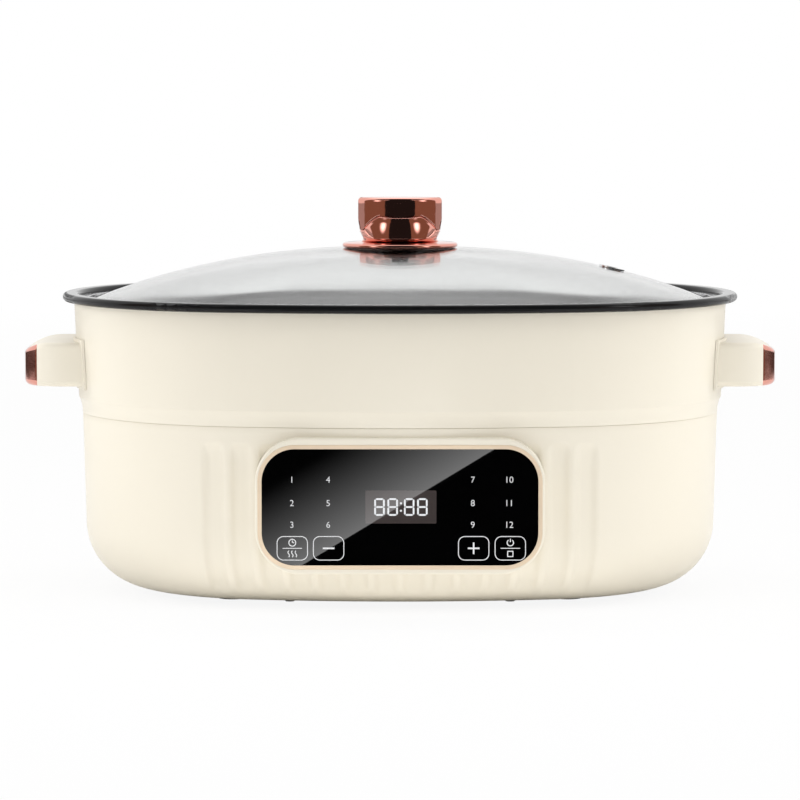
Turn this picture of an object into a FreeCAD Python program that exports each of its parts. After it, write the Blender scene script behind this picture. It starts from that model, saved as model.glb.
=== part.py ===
import FreeCAD, Part
import math
import os
import Sketcher

# Electric hot pot with a lift-off glass lid: a heating base, an oval pot that lifts out of it by two
# handles, and the lid.  Millimetres.  X runs along the pot, the control panel faces -Y, and Z is up
# from the table.  The origin is on the table under the middle of the pot.

Vector = FreeCAD.Vector

DRIVING_SIZES = [
    # plan of the pot: an oval of two long and two short arcs, measured on the outside of the rim;
    # the bulge is how far the front stands out beyond the radius of the ends
    ("half_length", 187.7),
    ("half_depth", 128.5),
    ("front_bulge", 7.5),
    # housing of the base; every inset is measured inwards from the rim's outline
    ("foot_height", 3.0),
    ("base_top", 100.0),
    ("base_inset", 10.9),
    ("base_taper", 1.6),
    ("corner_radius", 36.0),
    ("housing_wall", 3.0),
    ("upstand_width", 3.4),
    ("ledge_drop", 1.6),
    ("ledge_width", 6.2),
    ("ledge_thickness", 2.6),
    ("cover_inset", 52.5),
    ("cover_thickness", 2.4),
    ("cover_gap", 0.5),
    ("lip_width", 8.0),
    ("lip_thickness", 2.4),
    ("boss_radius", 3.5),
    ("boss_height", 8.0),
    ("core_margin", 4.0),
    ("core_overlap", 0.8),
    ("opening_reach", 8.0),
    ("opening_depth", 30.0),
    # flutes down the front of the housing
    ("flute_pitch", 15.6),
    ("flute_width", 11.6),
    ("flute_depth", 1.65),
    ("flute_top", 91.5),
    ("flute_turn", 60.0),
    # feet, bottom screws and vents
    ("foot_radius", 9.0),
    ("foot_inset", 95.7),
    ("foot_setback", 86.5),
    ("foot_edge", 0.8),
    ("thread_radius", 1.4),
    ("clear_hole", 1.8),
    ("screw_head_radius", 2.9),
    ("screw_head_height", 1.6),
    ("screw_length", 10.0),
    ("bottom_screw_across", 60.0),
    ("vent_length", 44.0),
    ("vent_width", 3.0),
    ("vent_pitch", 9.0),
    ("vent_middle", 52.0),
    # sheet-metal tray that lines the base under the pot
    ("tray_gauge", 0.8),
    ("tray_gap", 0.5),
    ("tray_floor", 26.0),
    ("tray_corner", 20.0),
    # cast heating plate with its tubular element
    ("plate_top", 42.0),
    ("plate_thickness", 8.0),
    ("plate_inset", 75.0),
    ("plate_bore", 13.0),
    ("plate_edge", 1.2),
    ("element_inset", 95.0),
    ("element_radius", 3.5),
    ("element_play", 0.1),
    ("terminal_radius", 3.0),
    ("terminal_across", 10.0),
    ("terminal_end", 23.0),
    ("terminal_hole", 4.5),
    ("post_radius", 5.0),
    ("post_across", 60.0),
    ("post_margin", 7.5),
    ("plate_screw_depth", 5.0),
    # spring-loaded temperature probe in the middle of the plate
    ("probe_radius", 10.3),
    ("probe_clearance", 0.1),
    ("probe_wall", 1.5),
    ("probe_height", 16.0),
    ("guide_wall", 1.6),
    ("guide_top", 35.0),
    ("guide_bottom", 14.0),
    ("guide_flange", 17.0),
    ("guide_flange_thickness", 1.4),
    ("spring_radius", 7.0),
    ("spring_wire", 0.6),
    ("spring_turns", 7),
    ("spring_play", 0.1),
    # thermal fuse under the plate
    ("fuse_radius", 2.2),
    ("fuse_length", 24.0),
    ("fuse_across", 30.0),
    ("clip_gauge", 0.8),
    ("clip_width", 8.0),
    ("clip_ear", 7.0),
    # power board
    ("board_thickness", 1.6),
    ("standoff_height", 3.0),
    ("standoff_radius", 3.2),
    ("board_length", 84.0),
    ("board_width", 62.0),
    ("board_inset", 71.7),
    ("board_screw_edge", 5.0),
    ("transformer_across", -20.0),
    ("transformer_along", 10.0),
    ("transformer_length", 24.0),
    ("transformer_width", 20.0),
    ("transformer_height", 12.0),
    ("relay_across", 6.0),
    ("relay_along", 13.0),
    ("relay_length", 19.0),
    ("relay_width", 15.5),
    ("relay_height", 11.5),
    ("capacitor_across", 26.0),
    ("capacitor_front", -18.0),
    ("capacitor_back", 4.0),
    ("capacitor_radius", 5.0),
    ("capacitor_height", 12.0),
    # control panel
    ("panel_setback", 8.0),
    ("panel_height", 58.5),
    ("bezel_border", 1.4),
    ("bezel_brow", 3.2),
    ("bezel_raise", 0.5),
    ("bezel_turn", 4.3),
    ("bezel_edge", 1.2),
    ("bezel_reach", 20.0),
    ("glass_half_width", 73.6),
    ("glass_half_height", 31.1),
    ("glass_corner", 17.5),
    ("glass_thickness", 2.0),
    ("glass_recess", 0.2),
    ("trim_width", 2.2),
    ("trim_proud", 0.3),
    ("trim_edge", 0.4),
    ("neck_wall", 3.6),
    ("neck_gap", 0.3),
    ("neck_length", 10.1),
    ("step_width", 4.0),
    ("board_stand", 4.7),
    ("control_board_gap", 0.4),
    ("display_half_width", 19.5),
    ("display_half_height", 9.5),
    ("display_rise", 0.3),
    ("display_gap", 0.2),
    ("key_inner_inset", 35.6),
    ("key_outer_inset", 16.6),
    ("key_drop", 20.8),
    ("touch_radius", 2.4),
    ("touch_wire", 0.5),
    ("panel_screw_inset", 25.6),
    ("panel_thread", 0.9),
    ("panel_screw_hole", 1.1),
    ("panel_head_radius", 1.8),
    ("panel_head_height", 1.2),
    ("panel_screw_length", 4.0),
    ("panel_hole_depth", 3.0),
    # power inlet at the back
    ("inlet_height", 58.0),
    ("inlet_half_width", 16.5),
    ("inlet_half_height", 13.0),
    ("inlet_corner", 5.0),
    ("inlet_setback", 2.0),
    ("inlet_length", 18.3),
    ("inlet_flange_width", 26.0),
    ("inlet_flange_height", 16.0),
    ("inlet_flange_proud", 3.0),
    ("inlet_flange_depth", 12.0),
    ("inlet_wall", 3.4),
    ("inlet_depth", 14.0),
    ("inlet_mouth_corner", 2.0),
    ("inlet_gap", 0.3),
    ("pin_radius", 2.0),
    ("pin_spacing", 7.0),
    ("pin_drop", 3.0),
    ("pin_length", 9.0),
    ("inlet_screw_across", 21.5),
    # pot
    ("pot_gauge", 1.8),
    ("rim_top", 166.5),
    ("bead_width", 9.0),
    ("bead_height", 4.7),
    ("lid_seat", 159.4),
    ("seat_width", 6.5),
    ("pot_taper", 15.2),
    ("pot_corner", 26.0),
    # cream skirt round the upper part of the pot
    ("skirt_inset", 6.3),
    ("skirt_taper", 2.4),
    ("skirt_wall", 2.4),
    ("skirt_edge_top", 109.0),
    ("skirt_edge", 2.0),
    ("seam_gap", 0.4),
    ("skirt_floor", 2.0),
    ("skirt_floor_gap", 0.5),
    # handles; the reach is measured from the end of the rim
    ("handle_reach", 20.1),
    ("handle_bottom", 116.0),
    ("handle_thickness", 24.3),
    ("handle_half_width", 38.0),
    ("handle_corner", 22.0),
    ("handle_fall_length", 16.0),
    ("handle_fall", 5.2),
    ("handle_edge", 3.2),
    ("handle_root_inset", 24.0),
    ("handle_trim_length", 7.8),
    ("handle_trim_gauge", 2.0),
    ("grip_inset", 2.2),
    ("grip_margin", 8.3),
    ("grip_half_width", 28.0),
    ("grip_depth", 14.5),
    ("grip_corner", 6.0),
    ("flange_gauge", 1.5),
    ("flange_margin", 1.6),
    ("bracket_gauge", 1.5),
    ("plate_gap", 0.1),
    ("bracket_half_width", 30.0),
    ("bracket_margin", 2.5),
    ("handle_screw_along", 21.0),
    ("handle_screw_length", 11.0),
    # lid
    ("lid_clearance", 0.4),
    ("band_gauge", 0.6),
    ("band_width", 4.2),
    ("lid_glass_thickness", 3.2),
    ("dome_inset", 17.7),
    ("dome_top", 191.2),
    ("dome_flat", 17.0),
    ("dome_overlap", 8.0),
    ("lid_bore", 3.4),
    ("vent_inset", 69.7),
    ("vent_hole", 5.4),
    ("vent_flange_radius", 7.2),
    ("vent_flange_gauge", 0.7),
    ("vent_neck_radius", 4.6),
    ("vent_bore", 3.2),
    ("vent_play", 0.15),
    # knob
    ("knob_plate_radius", 32.0),
    ("knob_plate_edge", 2.4),
    ("knob_plate_rise", 0.8),
    ("knob_foot_radius", 17.0),
    ("knob_foot_height", 3.6),
    ("knob_waist_radius", 20.8),
    ("knob_top_radius", 23.4),
    ("knob_top", 219.0),
    ("knob_ledge", 208.0),
    ("knob_ledge_half", 12.5),
    ("knob_ledge_side", 199.5),
    ("knob_web_half", 8.5),
    ("knob_edge", 1.6),
    ("knob_screw_radius", 2.4),
    ("knob_screw_clearance", 0.1),
    ("knob_screw_reach", 14.0),
    ("knob_screw_head_radius", 4.6),
    ("knob_screw_head_height", 2.8),
    ("knob_washer_radius", 9.0),
    ("knob_washer_gauge", 1.4),
]


class Size:
    """A length of the sheet, or one worked out from such lengths: its number and its expression."""

    def __init__(self, value, text):
        self.value = float(value)
        self.text = text

    def __add__(self, other):
        other = sized(other)
        return Size(self.value + other.value, f"({self.text} + {other.text})")

    def __radd__(self, other):
        return sized(other) + self

    def __sub__(self, other):
        other = sized(other)
        return Size(self.value - other.value, f"({self.text} - {other.text})")

    def __rsub__(self, other):
        return sized(other) - self

    def __mul__(self, other):
        other = sized(other)
        return Size(self.value * other.value, f"({self.text} * {other.text})")

    def __rmul__(self, other):
        return sized(other) * self

    def __truediv__(self, other):
        other = sized(other)
        return Size(self.value / other.value, f"({self.text} / {other.text})")

    def __neg__(self):
        return Size(-self.value, f"(0 - {self.text})")


def sized(number):
    """A plain number as a Size."""
    if isinstance(number, Size):
        return number
    return Size(number, f"{number:.6f}")


def root(size):
    """The square root of a Size."""
    return Size(math.sqrt(size.value), f"sqrt({size.text})")


def sine(degrees):
    """The sine of a Size that holds degrees."""
    return Size(math.sin(math.radians(degrees.value)), f"sin({degrees.text})")


def cosine(degrees):
    """The cosine of a Size that holds degrees."""
    return Size(math.cos(math.radians(degrees.value)), f"cos({degrees.text})")


class Sheet:
    """The spreadsheet of driving sizes, with one Size for each alias."""

    def __init__(self, document, rows):
        cells = document.addObject("Spreadsheet::Sheet", "Sizes")
        for row, (alias, number) in enumerate(rows, start=1):
            cells.set(f"A{row}", alias)
            cells.set(f"B{row}", str(number))
            cells.setAlias(f"B{row}", alias)
            setattr(self, alias, Size(number, f"Sizes.{alias}"))


doc = FreeCAD.newDocument("hot_pot")
size = Sheet(doc, DRIVING_SIZES)
doc.recompute()

PIECES = []
FLUTES_PER_SIDE = 7
VENT_ROWS = (-2, -1, 0, 1, 2)
TOUCH = 0.01


# ---------------------------------------------------------------- ways of making a piece

def bind(thing, prop, length):
    """Give a property its number now and tie it to the sheet."""
    length = sized(length)
    thing.setExpression(prop, length.text)


def piece(thing, name):
    """Name a finished sub-part and keep it for export."""
    thing.Label = name
    PIECES.append(thing)
    return thing


def new_body(name):
    body = doc.addObject("PartDesign::Body", name)
    body.AllowCompound = True
    return body


def origin_plane(body, role):
    for feature in body.Origin.OriginFeatures:
        if feature.Role == role:
            return feature
    raise RuntimeError(f"{body.Name} has no {role}")


def new_sketch(body, role="XY_Plane", offset=0):
    """A sketch on one of the body's own planes, moved along the plane's normal."""
    sketch = body.newObject("Sketcher::SketchObject", f"{body.Name}_sketch")
    sketch.AttachmentSupport = [(origin_plane(body, role), "")]
    sketch.MapMode = "FlatFace"
    offset = sized(offset)
    sketch.AttachmentOffset = FreeCAD.Placement(Vector(0, 0, offset.value), FreeCAD.Rotation())
    bind(sketch, "AttachmentOffset.Base.z", offset)
    return sketch


def hold(sketch, kind, geometry, point, length):
    """Hold a sketch point at a signed distance from the origin."""
    index = sketch.addConstraint(Sketcher.Constraint(kind, -1, 1, geometry, point, length.value))
    sketch.setExpression(f"Constraints[{index}]", length.text)


def hold_radius(sketch, geometry, radius):
    index = sketch.addConstraint(Sketcher.Constraint("Radius", geometry, radius.value))
    sketch.setExpression(f"Constraints[{index}]", radius.text)


def arc_between(start, end, radius):
    """The minor arc from start to end; a positive radius turns left and a negative one right."""
    chord = end - start
    turn = math.copysign(1.0, radius)
    side = Vector(-chord.y, chord.x, 0).normalize()
    reach = math.sqrt(max(radius * radius - chord.Length ** 2 / 4, 0.0))
    centre = (start + end) * 0.5 + side * (turn * reach)
    first = math.atan2(start.y - centre.y, start.x - centre.x)
    last = math.atan2(end.y - centre.y, end.x - centre.x)
    if turn < 0:
        first, last = last, first
    if last < first:
        last += 2 * math.pi
    return Part.ArcOfCircle(Part.Circle(centre, Vector(0, 0, 1), abs(radius)), first, last)


def trace(sketch, corners, closed=True):
    """Draw an outline through corners (across, up) or (across, up, radius of the arc to the next)."""
    places = [(sized(corner[0]), sized(corner[1])) for corner in corners]
    count = len(corners)
    edges = []
    for index in range(count if closed else count - 1):
        across, up = places[index]
        next_across, next_up = places[(index + 1) % count]
        start = Vector(across.value, up.value, 0)
        end = Vector(next_across.value, next_up.value, 0)
        if len(corners[index]) == 2:
            edge = sketch.addGeometry(Part.LineSegment(start, end), False)
            edges.append((edge, 1, 2))
            continue
        radius = sized(corners[index][2])
        edge = sketch.addGeometry(arc_between(start, end, radius.value), False)
        hold_radius(sketch, edge, radius if radius.value > 0 else -radius)
        edges.append((edge, 1, 2) if radius.value > 0 else (edge, 2, 1))
    for index, (edge, start, end) in enumerate(edges):
        across, up = places[index]
        hold(sketch, "DistanceX", edge, start, across)
        hold(sketch, "DistanceY", edge, start, up)
        if closed or index < len(edges) - 1:
            following, next_start, _ = edges[(index + 1) % len(edges)]
            sketch.addConstraint(Sketcher.Constraint("Coincident", edge, end, following, next_start))
        else:
            hold(sketch, "DistanceX", edge, end, places[-1][0])
            hold(sketch, "DistanceY", edge, end, places[-1][1])


def trace_circle(sketch, across, up, radius):
    across, up, radius = sized(across), sized(up), sized(radius)
    centre = Vector(across.value, up.value, 0)
    circle = sketch.addGeometry(Part.Circle(centre, Vector(0, 0, 1), radius.value), False)
    hold(sketch, "DistanceX", circle, 3, across)
    hold(sketch, "DistanceY", circle, 3, up)
    hold_radius(sketch, circle, radius)


def trace_box(sketch, half_across, half_up, corner=None, middle=(0, 0)):
    """Draw a rectangle about a middle point, with rounded corners where a radius is given."""
    across, up = sized(middle[0]), sized(middle[1])
    right, left = across + half_across, across - half_across
    top, bottom = up + half_up, up - half_up
    if corner is None:
        trace(sketch, [(left, bottom), (right, bottom), (right, top), (left, top)])
        return
    trace(sketch, [
        (left + corner, bottom), (right - corner, bottom, corner),
        (right, bottom + corner), (right, top - corner, corner),
        (right - corner, top), (left + corner, top, corner),
        (left, top - corner), (left, bottom + corner, corner),
    ])


END_RADIUS = size.half_depth - size.front_bulge
END_CENTRE = size.half_length - END_RADIUS
FRONT_RADIUS = (
    (END_CENTRE * END_CENTRE + size.half_depth * size.half_depth - END_RADIUS * END_RADIUS)
    / (2 * size.front_bulge)
)
FRONT_CENTRE = FRONT_RADIUS - size.half_depth


def trace_oval(sketch, inset, scale=1):
    """Draw the plan oval, moved inwards by an inset and then scaled about the middle."""
    end = END_RADIUS - inset
    front = FRONT_RADIUS - inset
    reach = FRONT_RADIUS - END_RADIUS
    meet_across = (END_CENTRE + end * END_CENTRE / reach) * scale
    meet_up = end * FRONT_CENTRE / reach * scale
    tip = (size.half_length - inset) * scale
    trace(sketch, [
        (tip, 0, end * scale), (meet_across, meet_up, front * scale),
        (-meet_across, meet_up, end * scale), (-tip, 0, end * scale),
        (-meet_across, -meet_up, front * scale), (meet_across, -meet_up, end * scale),
    ])


def side(inset):
    """How far out along X a point of a wall's section lies."""
    return size.half_length - inset


def pad(body, sketch, depth, backwards=False, kind="PartDesign::Pad"):
    feature = body.newObject(kind, f"{body.Name}_step")
    feature.Profile = sketch
    feature.Reversed = backwards
    bind(feature, "Length", depth)
    return feature


def pocket(body, sketch, depth, backwards=False):
    """Cut a sketch out of the body, below the sketch or, backwards, above it."""
    doc.recompute()
    before = body.Shape.Volume
    feature = pad(body, sketch, depth, backwards, "PartDesign::Pocket")
    doc.recompute()
    if body.Shape.Volume > before - 1e-6:
        raise RuntimeError(f"a pocket in {body.Name} cuts nothing")
    return feature


def sweep_round(body, corners, kind="PartDesign::AdditivePipe"):
    """Carry a wall's section, drawn as (inset, height) corners, round the plan oval."""
    path = new_sketch(body)
    trace_oval(path, 0)
    section = new_sketch(body, "XZ_Plane")
    trace(section, [(side(corner[0]),) + tuple(corner[1:]) for corner in corners])
    feature = body.newObject(kind, f"{body.Name}_wall")
    feature.Profile = section
    feature.Spine = (path, [])
    return feature


def oval_slab(body, inset, bottom, thickness):
    sketch = new_sketch(body, offset=bottom)
    trace_oval(sketch, inset)
    return pad(body, sketch, thickness)


def spin(body, corners, kind="PartDesign::Revolution"):
    """Turn a section, drawn as (radius, height) corners, about the body's upright axis."""
    section = new_sketch(body, "XZ_Plane")
    trace(section, corners)
    feature = body.newObject(kind, f"{body.Name}_turned")
    feature.Profile = section
    feature.ReferenceAxis = (section, ["V_Axis"])
    feature.Angle = 360
    return feature


def discs(body, places, radius, bottom, thickness, cut=False, role="XY_Plane", inner=None):
    """Round pads or holes of one size at several places on a plane."""
    sketch = new_sketch(body, role, bottom)
    for across, up in places:
        trace_circle(sketch, across, up, radius)
        if inner is not None:
            trace_circle(sketch, across, up, inner)
    if cut:
        return pocket(body, sketch, thickness, backwards=True)
    return pad(body, sketch, thickness)


def soften(body, feature, radius, chosen):
    """Round the edges of a feature that a test picks out."""
    doc.recompute()
    names = [f"Edge{index}" for index, edge in enumerate(feature.Shape.Edges, start=1) if chosen(edge)]
    fillet = body.newObject("PartDesign::Fillet", f"{body.Name}_rounded")
    fillet.Base = (feature, names)
    bind(fillet, "Radius", radius)
    return fillet


def lies_at(edge, axis, place):
    """Whether an edge lies in the plane across an axis at a place."""
    box = edge.BoundBox
    low = getattr(box, f"{axis}Min")
    high = getattr(box, f"{axis}Max")
    return abs(low - place.value) < TOUCH and abs(high - place.value) < TOUCH


def block(name, low, high):
    """A box between two corners given as triples of sizes."""
    box = doc.addObject("Part::Box", name)
    for prop, start, end in zip(("Length", "Width", "Height"), low, high):
        bind(box, prop, sized(end) - start)
    for axis, start in zip("xyz", low):
        bind(box, f"Placement.Base.{axis}", start)
    return box


def rod(name, radius, length, start, direction=Vector(0, 0, 1)):
    """A round bar from a start point along a direction."""
    bar = doc.addObject("Part::Cylinder", name)
    bar.Placement = FreeCAD.Placement(Vector(), FreeCAD.Rotation(Vector(0, 0, 1), direction))
    bind(bar, "Radius", radius)
    bind(bar, "Height", length)
    for axis, place in zip("xyz", start):
        bind(bar, f"Placement.Base.{axis}", place)
    return bar


def cut(name, base, tool):
    result = doc.addObject("Part::Cut", name)
    result.Base = base
    result.Tool = tool
    return result


def common(name, base, tool):
    result = doc.addObject("Part::Common", name)
    result.Base = base
    result.Tool = tool
    return result


def fuse(name, *shapes):
    result = doc.addObject("Part::MultiFuse", name)
    result.Shapes = list(shapes)
    return result


def group(name, *shapes):
    result = doc.addObject("Part::Compound", name)
    result.Links = list(shapes)
    return result


def mirrored(name, source):
    """The same piece on the left side of the pot."""
    twin = doc.addObject("Part::Mirroring", name)
    twin.Source = source
    twin.Normal = Vector(1, 0, 0)
    return twin


# ---------------------------------------------------------------- levels shared by several pieces

CORNER_TOP = size.foot_height + size.corner_radius
WALL_SLOPE = size.base_taper / (size.base_top - CORNER_TOP)
WALL_LEAN = root(1 + WALL_SLOPE * WALL_SLOPE)
CORNER_CENTRE = size.base_inset + size.base_taper + size.corner_radius * WALL_LEAN
COVER_TOP = size.foot_height + size.cover_thickness
LIP_TOP = COVER_TOP + size.lip_thickness
COVER_OPENING = size.cover_inset - size.cover_gap
LIP_EDGE = COVER_OPENING + size.lip_width
CORE_INSET = LIP_EDGE + size.core_margin
LEDGE_TOP = size.base_top - size.ledge_drop
UPSTAND_EDGE = size.base_inset + size.upstand_width
LEDGE_EDGE = UPSTAND_EDGE + size.ledge_width
TRAY_WALL = LEDGE_EDGE + size.tray_gap
TRAY_TOP = size.tray_floor + size.tray_gauge
PLATE_BOTTOM = size.plate_top - size.plate_thickness
SEAM = size.base_top + size.seam_gap
BEAD_UNDERSIDE = size.rim_top - size.bead_height
NECK_INSET = size.bead_width - size.pot_gauge
SEAT_UNDERSIDE = size.lid_seat - size.pot_gauge
POT_CORNER_TOP = size.plate_top + size.pot_corner
POT_SLOPE = size.pot_taper / (SEAT_UNDERSIDE - POT_CORNER_TOP)
POT_LEAN = root(1 + POT_SLOPE * POT_SLOPE)
GLASS_UNDERSIDE = size.lid_seat + size.band_gauge
GLASS_RIM_TOP = GLASS_UNDERSIDE + size.lid_glass_thickness
BOARD_BOTTOM = COVER_TOP + size.standoff_height
BOARD_TOP = BOARD_BOTTOM + size.board_thickness
BOARD_MIDDLE = size.half_length - size.board_inset - size.board_length / 2
PANEL_FACE = size.half_depth - size.panel_setback
PANEL_BACK = PANEL_FACE - size.glass_recess - size.glass_thickness
NECK_END = PANEL_FACE - size.neck_length
BOARD_FACE = PANEL_BACK - size.board_stand
BEZEL_MIDDLE = size.panel_height + size.bezel_raise
INLET_FACE = size.half_depth - size.inlet_setback
INLET_BACK = INLET_FACE - size.inlet_length
HANDLE_END = size.half_length + size.handle_reach
GRIP_START = size.half_length - size.grip_inset
GRIP_END = HANDLE_END - size.grip_margin
VENT_ACROSS = size.half_length - size.vent_inset
SPARE = 1.0


def wall_inset(height):
    """The inset of the housing's outer face at a height above its bottom corner."""
    return size.base_inset + WALL_SLOPE * (size.base_top - height)


def corner_end(centre, height, radius, slope, lean):
    """Where a rounded bottom corner meets a leaning wall, as (inset, height)."""
    return centre - radius / lean, height - radius * slope / lean


def skirt_face(height):
    """The inset of the skirt's outer face at a height above its lower edge."""
    fall = (BEAD_UNDERSIDE - height) / (BEAD_UNDERSIDE - size.skirt_edge_top)
    return size.skirt_inset + size.skirt_taper * fall


def pot_face(height):
    """The inset of the pot's outer face between the lid seat and the bottom corner."""
    return size.bead_width + size.seat_width - size.pot_gauge + POT_SLOPE * (SEAT_UNDERSIDE - height)


def front_place(across, inset):
    """How far the plan's front arc, moved inwards, lies from the middle at a place across."""
    radius = FRONT_RADIUS - inset
    return root(radius * radius - sized(across) * across) - FRONT_CENTRE


def screw_places():
    """The six bottom screws, along the middle of the housing's lip."""
    inset = COVER_OPENING + size.lip_width / 2
    across = size.bottom_screw_across
    along = front_place(across, inset)
    places = [(sign * side(inset), sized(0)) for sign in (-1, 1)]
    for sign in (-1, 1):
        places += [(sign * across, along), (sign * across, -along)]
    return places


# ---------------------------------------------------------------- base housing

def housing_form():
    """The solid outer form of the base, before its front is fluted."""
    form = new_body("housing_form")
    bend = corner_end(CORNER_CENTRE, CORNER_TOP, size.corner_radius, WALL_SLOPE, WALL_LEAN)
    sweep_round(form, [
        (size.base_inset, size.base_top), (CORE_INSET, size.base_top), (CORE_INSET, size.foot_height),
        (CORNER_CENTRE, size.foot_height, size.corner_radius), bend,
    ])
    oval_slab(form, CORE_INSET - size.core_overlap, size.foot_height, size.base_top - size.foot_height)
    return form


def flute_tool():
    """A round-ended bar that follows the wall and the bottom corner in the middle of the front."""
    half = size.flute_width / 2
    depth = size.flute_depth
    radius = (half * half + depth * depth) / (2 * depth)
    stand = radius - depth
    turn = size.corner_radius + stand
    start = size.flute_top - half
    top_face = size.half_depth - wall_inset(start) + stand * WALL_LEAN
    centre = size.half_depth - CORNER_CENTRE
    lean = math.degrees(math.atan(WALL_SLOPE.value))
    bend_inset, bend_height = corner_end(CORNER_CENTRE, CORNER_TOP, turn, WALL_SLOPE, WALL_LEAN)
    straight = (start - bend_height) * WALL_LEAN
    tip = doc.addObject("Part::Sphere", "flute_tip")
    bind(tip, "Radius", radius)
    bar = doc.addObject("Part::Cylinder", "flute_bar")
    bind(bar, "Radius", radius)
    bind(bar, "Height", straight)
    bar.Placement = FreeCAD.Placement(Vector(), FreeCAD.Rotation(Vector(1, 0, 0), 180 - lean))
    bar.setExpression("Placement.Rotation.Angle", f"180 deg - atan({WALL_SLOPE.text})")
    for thing in (tip, bar):
        bind(thing, "Placement.Base.y", -top_face)
        bind(thing, "Placement.Base.z", start)
    bend = doc.addObject("Part::Torus", "flute_bend")
    bind(bend, "Radius1", turn)
    bind(bend, "Radius2", radius)
    bind(bend, "Angle3", size.flute_turn)
    across = FreeCAD.Rotation(Vector(0, -1, 0), Vector(0, 0, -1), Vector(1, 0, 0), "ZXY")
    roll = FreeCAD.Rotation(Vector(1, 0, 0), lean)
    bend.Placement = FreeCAD.Placement(Vector(), roll.multiply(across))
    bind(bend, "Placement.Base.y", -centre)
    bind(bend, "Placement.Base.z", CORNER_TOP)
    return fuse("flute_cutter", tip, bar, bend)


def fluted_form():
    """The form with a row of flutes, turned about the centre of the plan's front arc."""
    form = housing_form()
    tool = flute_tool()
    step = size.flute_pitch / (FRONT_RADIUS - size.base_inset) * (180 / math.pi)
    for number in range(-FLUTES_PER_SIDE, FLUTES_PER_SIDE):
        angle = step * (number + 0.5)
        place = group(f"flute_{number + FLUTES_PER_SIDE + 1}", tool)
        place.Placement = FreeCAD.Placement(Vector(), FreeCAD.Rotation(Vector(0, 0, 1), angle.value))
        bind(place, "Placement.Base.x", FRONT_CENTRE * sine(angle))
        bind(place, "Placement.Base.y", FRONT_CENTRE - FRONT_CENTRE * cosine(angle))
        bind(place, "Placement.Rotation.Angle", angle)
        form = cut(f"form_cut_{number + FLUTES_PER_SIDE + 1}", form, place)
    return form


def housing_hollow():
    """What is taken out of the form: the space inside, the panel and inlet openings, the bottom."""
    hollow = new_body("housing_hollow")
    inner_radius = size.corner_radius - size.housing_wall
    bend = corner_end(CORNER_CENTRE, CORNER_TOP, inner_radius, WALL_SLOPE, WALL_LEAN)
    rise = CORNER_TOP - LIP_TOP
    inner_floor = CORNER_CENTRE - root(inner_radius * inner_radius - rise * rise)
    ledge_bottom = LEDGE_TOP - size.ledge_thickness
    sweep_round(hollow, [
        (UPSTAND_EDGE, size.base_top + SPARE), (CORE_INSET, size.base_top + SPARE),
        (CORE_INSET, size.foot_height - SPARE), (COVER_OPENING, size.foot_height - SPARE),
        (COVER_OPENING, COVER_TOP), (LIP_EDGE, COVER_TOP), (LIP_EDGE, LIP_TOP),
        (inner_floor, LIP_TOP, inner_radius), bend,
        (wall_inset(ledge_bottom) + size.housing_wall * WALL_LEAN, ledge_bottom),
        (LEDGE_EDGE, ledge_bottom),
        (LEDGE_EDGE, LEDGE_TOP), (UPSTAND_EDGE, LEDGE_TOP),
    ])
    height = size.base_top - size.foot_height + 2 * SPARE
    oval_slab(hollow, CORE_INSET - size.core_overlap, size.foot_height - SPARE, height)
    window = new_sketch(hollow, "XZ_Plane", NECK_END - size.opening_reach)
    trace_box(window, size.glass_half_width + size.neck_gap, size.glass_half_height + size.neck_gap,
              size.glass_corner + size.neck_gap, (0, size.panel_height))
    pad(hollow, window, size.opening_depth)
    socket = new_sketch(hollow, "XZ_Plane", size.opening_reach - INLET_BACK)
    trace_box(socket, size.inlet_half_width + size.inlet_gap, size.inlet_half_height + size.inlet_gap,
              size.inlet_corner, (0, size.inlet_height))
    pad(hollow, socket, size.opening_depth, backwards=True)
    discs(hollow, screw_places(), size.thread_radius, COVER_TOP - SPARE, size.lip_thickness + 2 * SPARE)
    discs(hollow, screw_places(), size.boss_radius, LIP_TOP, size.boss_height, cut=True,
          inner=size.thread_radius)
    screws = [(sign * size.inlet_screw_across, size.inlet_height) for sign in (-1, 1)]
    ways = new_sketch(hollow, "XZ_Plane", size.opening_reach - INLET_BACK)
    for across, up in screws:
        trace_circle(ways, across, up, size.thread_radius)
    pad(hollow, ways, size.opening_depth, backwards=True)
    return hollow


FORM = fluted_form()
HOLLOW = housing_hollow()
piece(cut("base_housing", FORM, HOLLOW), "base_housing")


# ---------------------------------------------------------------- bottom of the base

def board_corners():
    """The four screws of the power board, which lies on the left of the base."""
    across = size.board_length / 2 - size.board_screw_edge
    along = size.board_width / 2 - size.board_screw_edge
    return [(-BOARD_MIDDLE + x * across, y * along) for x in (-1, 1) for y in (-1, 1)]


def bottom_cover():
    cover = new_body("bottom_cover")
    oval_slab(cover, size.cover_inset, size.foot_height, size.cover_thickness)
    discs(cover, board_corners(), size.standoff_radius, COVER_TOP, size.standoff_height,
          inner=size.thread_radius)
    discs(cover, screw_places(), size.clear_hole, size.foot_height, size.cover_thickness, cut=True)
    vents = new_sketch(cover, offset=size.foot_height)
    for step in VENT_ROWS:
        trace_box(vents, size.vent_length / 2, size.vent_width / 2, middle=(size.vent_middle,
                  step * size.vent_pitch))
    pocket(cover, vents, size.cover_thickness, backwards=True)
    return piece(cover, "bottom_cover")


def rubber_feet():
    feet = new_body("rubber_feet")
    across = size.half_length - size.foot_inset
    along = size.half_depth - size.foot_setback
    places = [(x * across, y * along) for x in (-1, 1) for y in (-1, 1)]
    pads = discs(feet, places, size.foot_radius, 0, size.foot_height)
    soften(feet, pads, size.foot_edge, lambda edge: lies_at(edge, "Z", sized(0)))
    return piece(feet, "rubber_feet")


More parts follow.
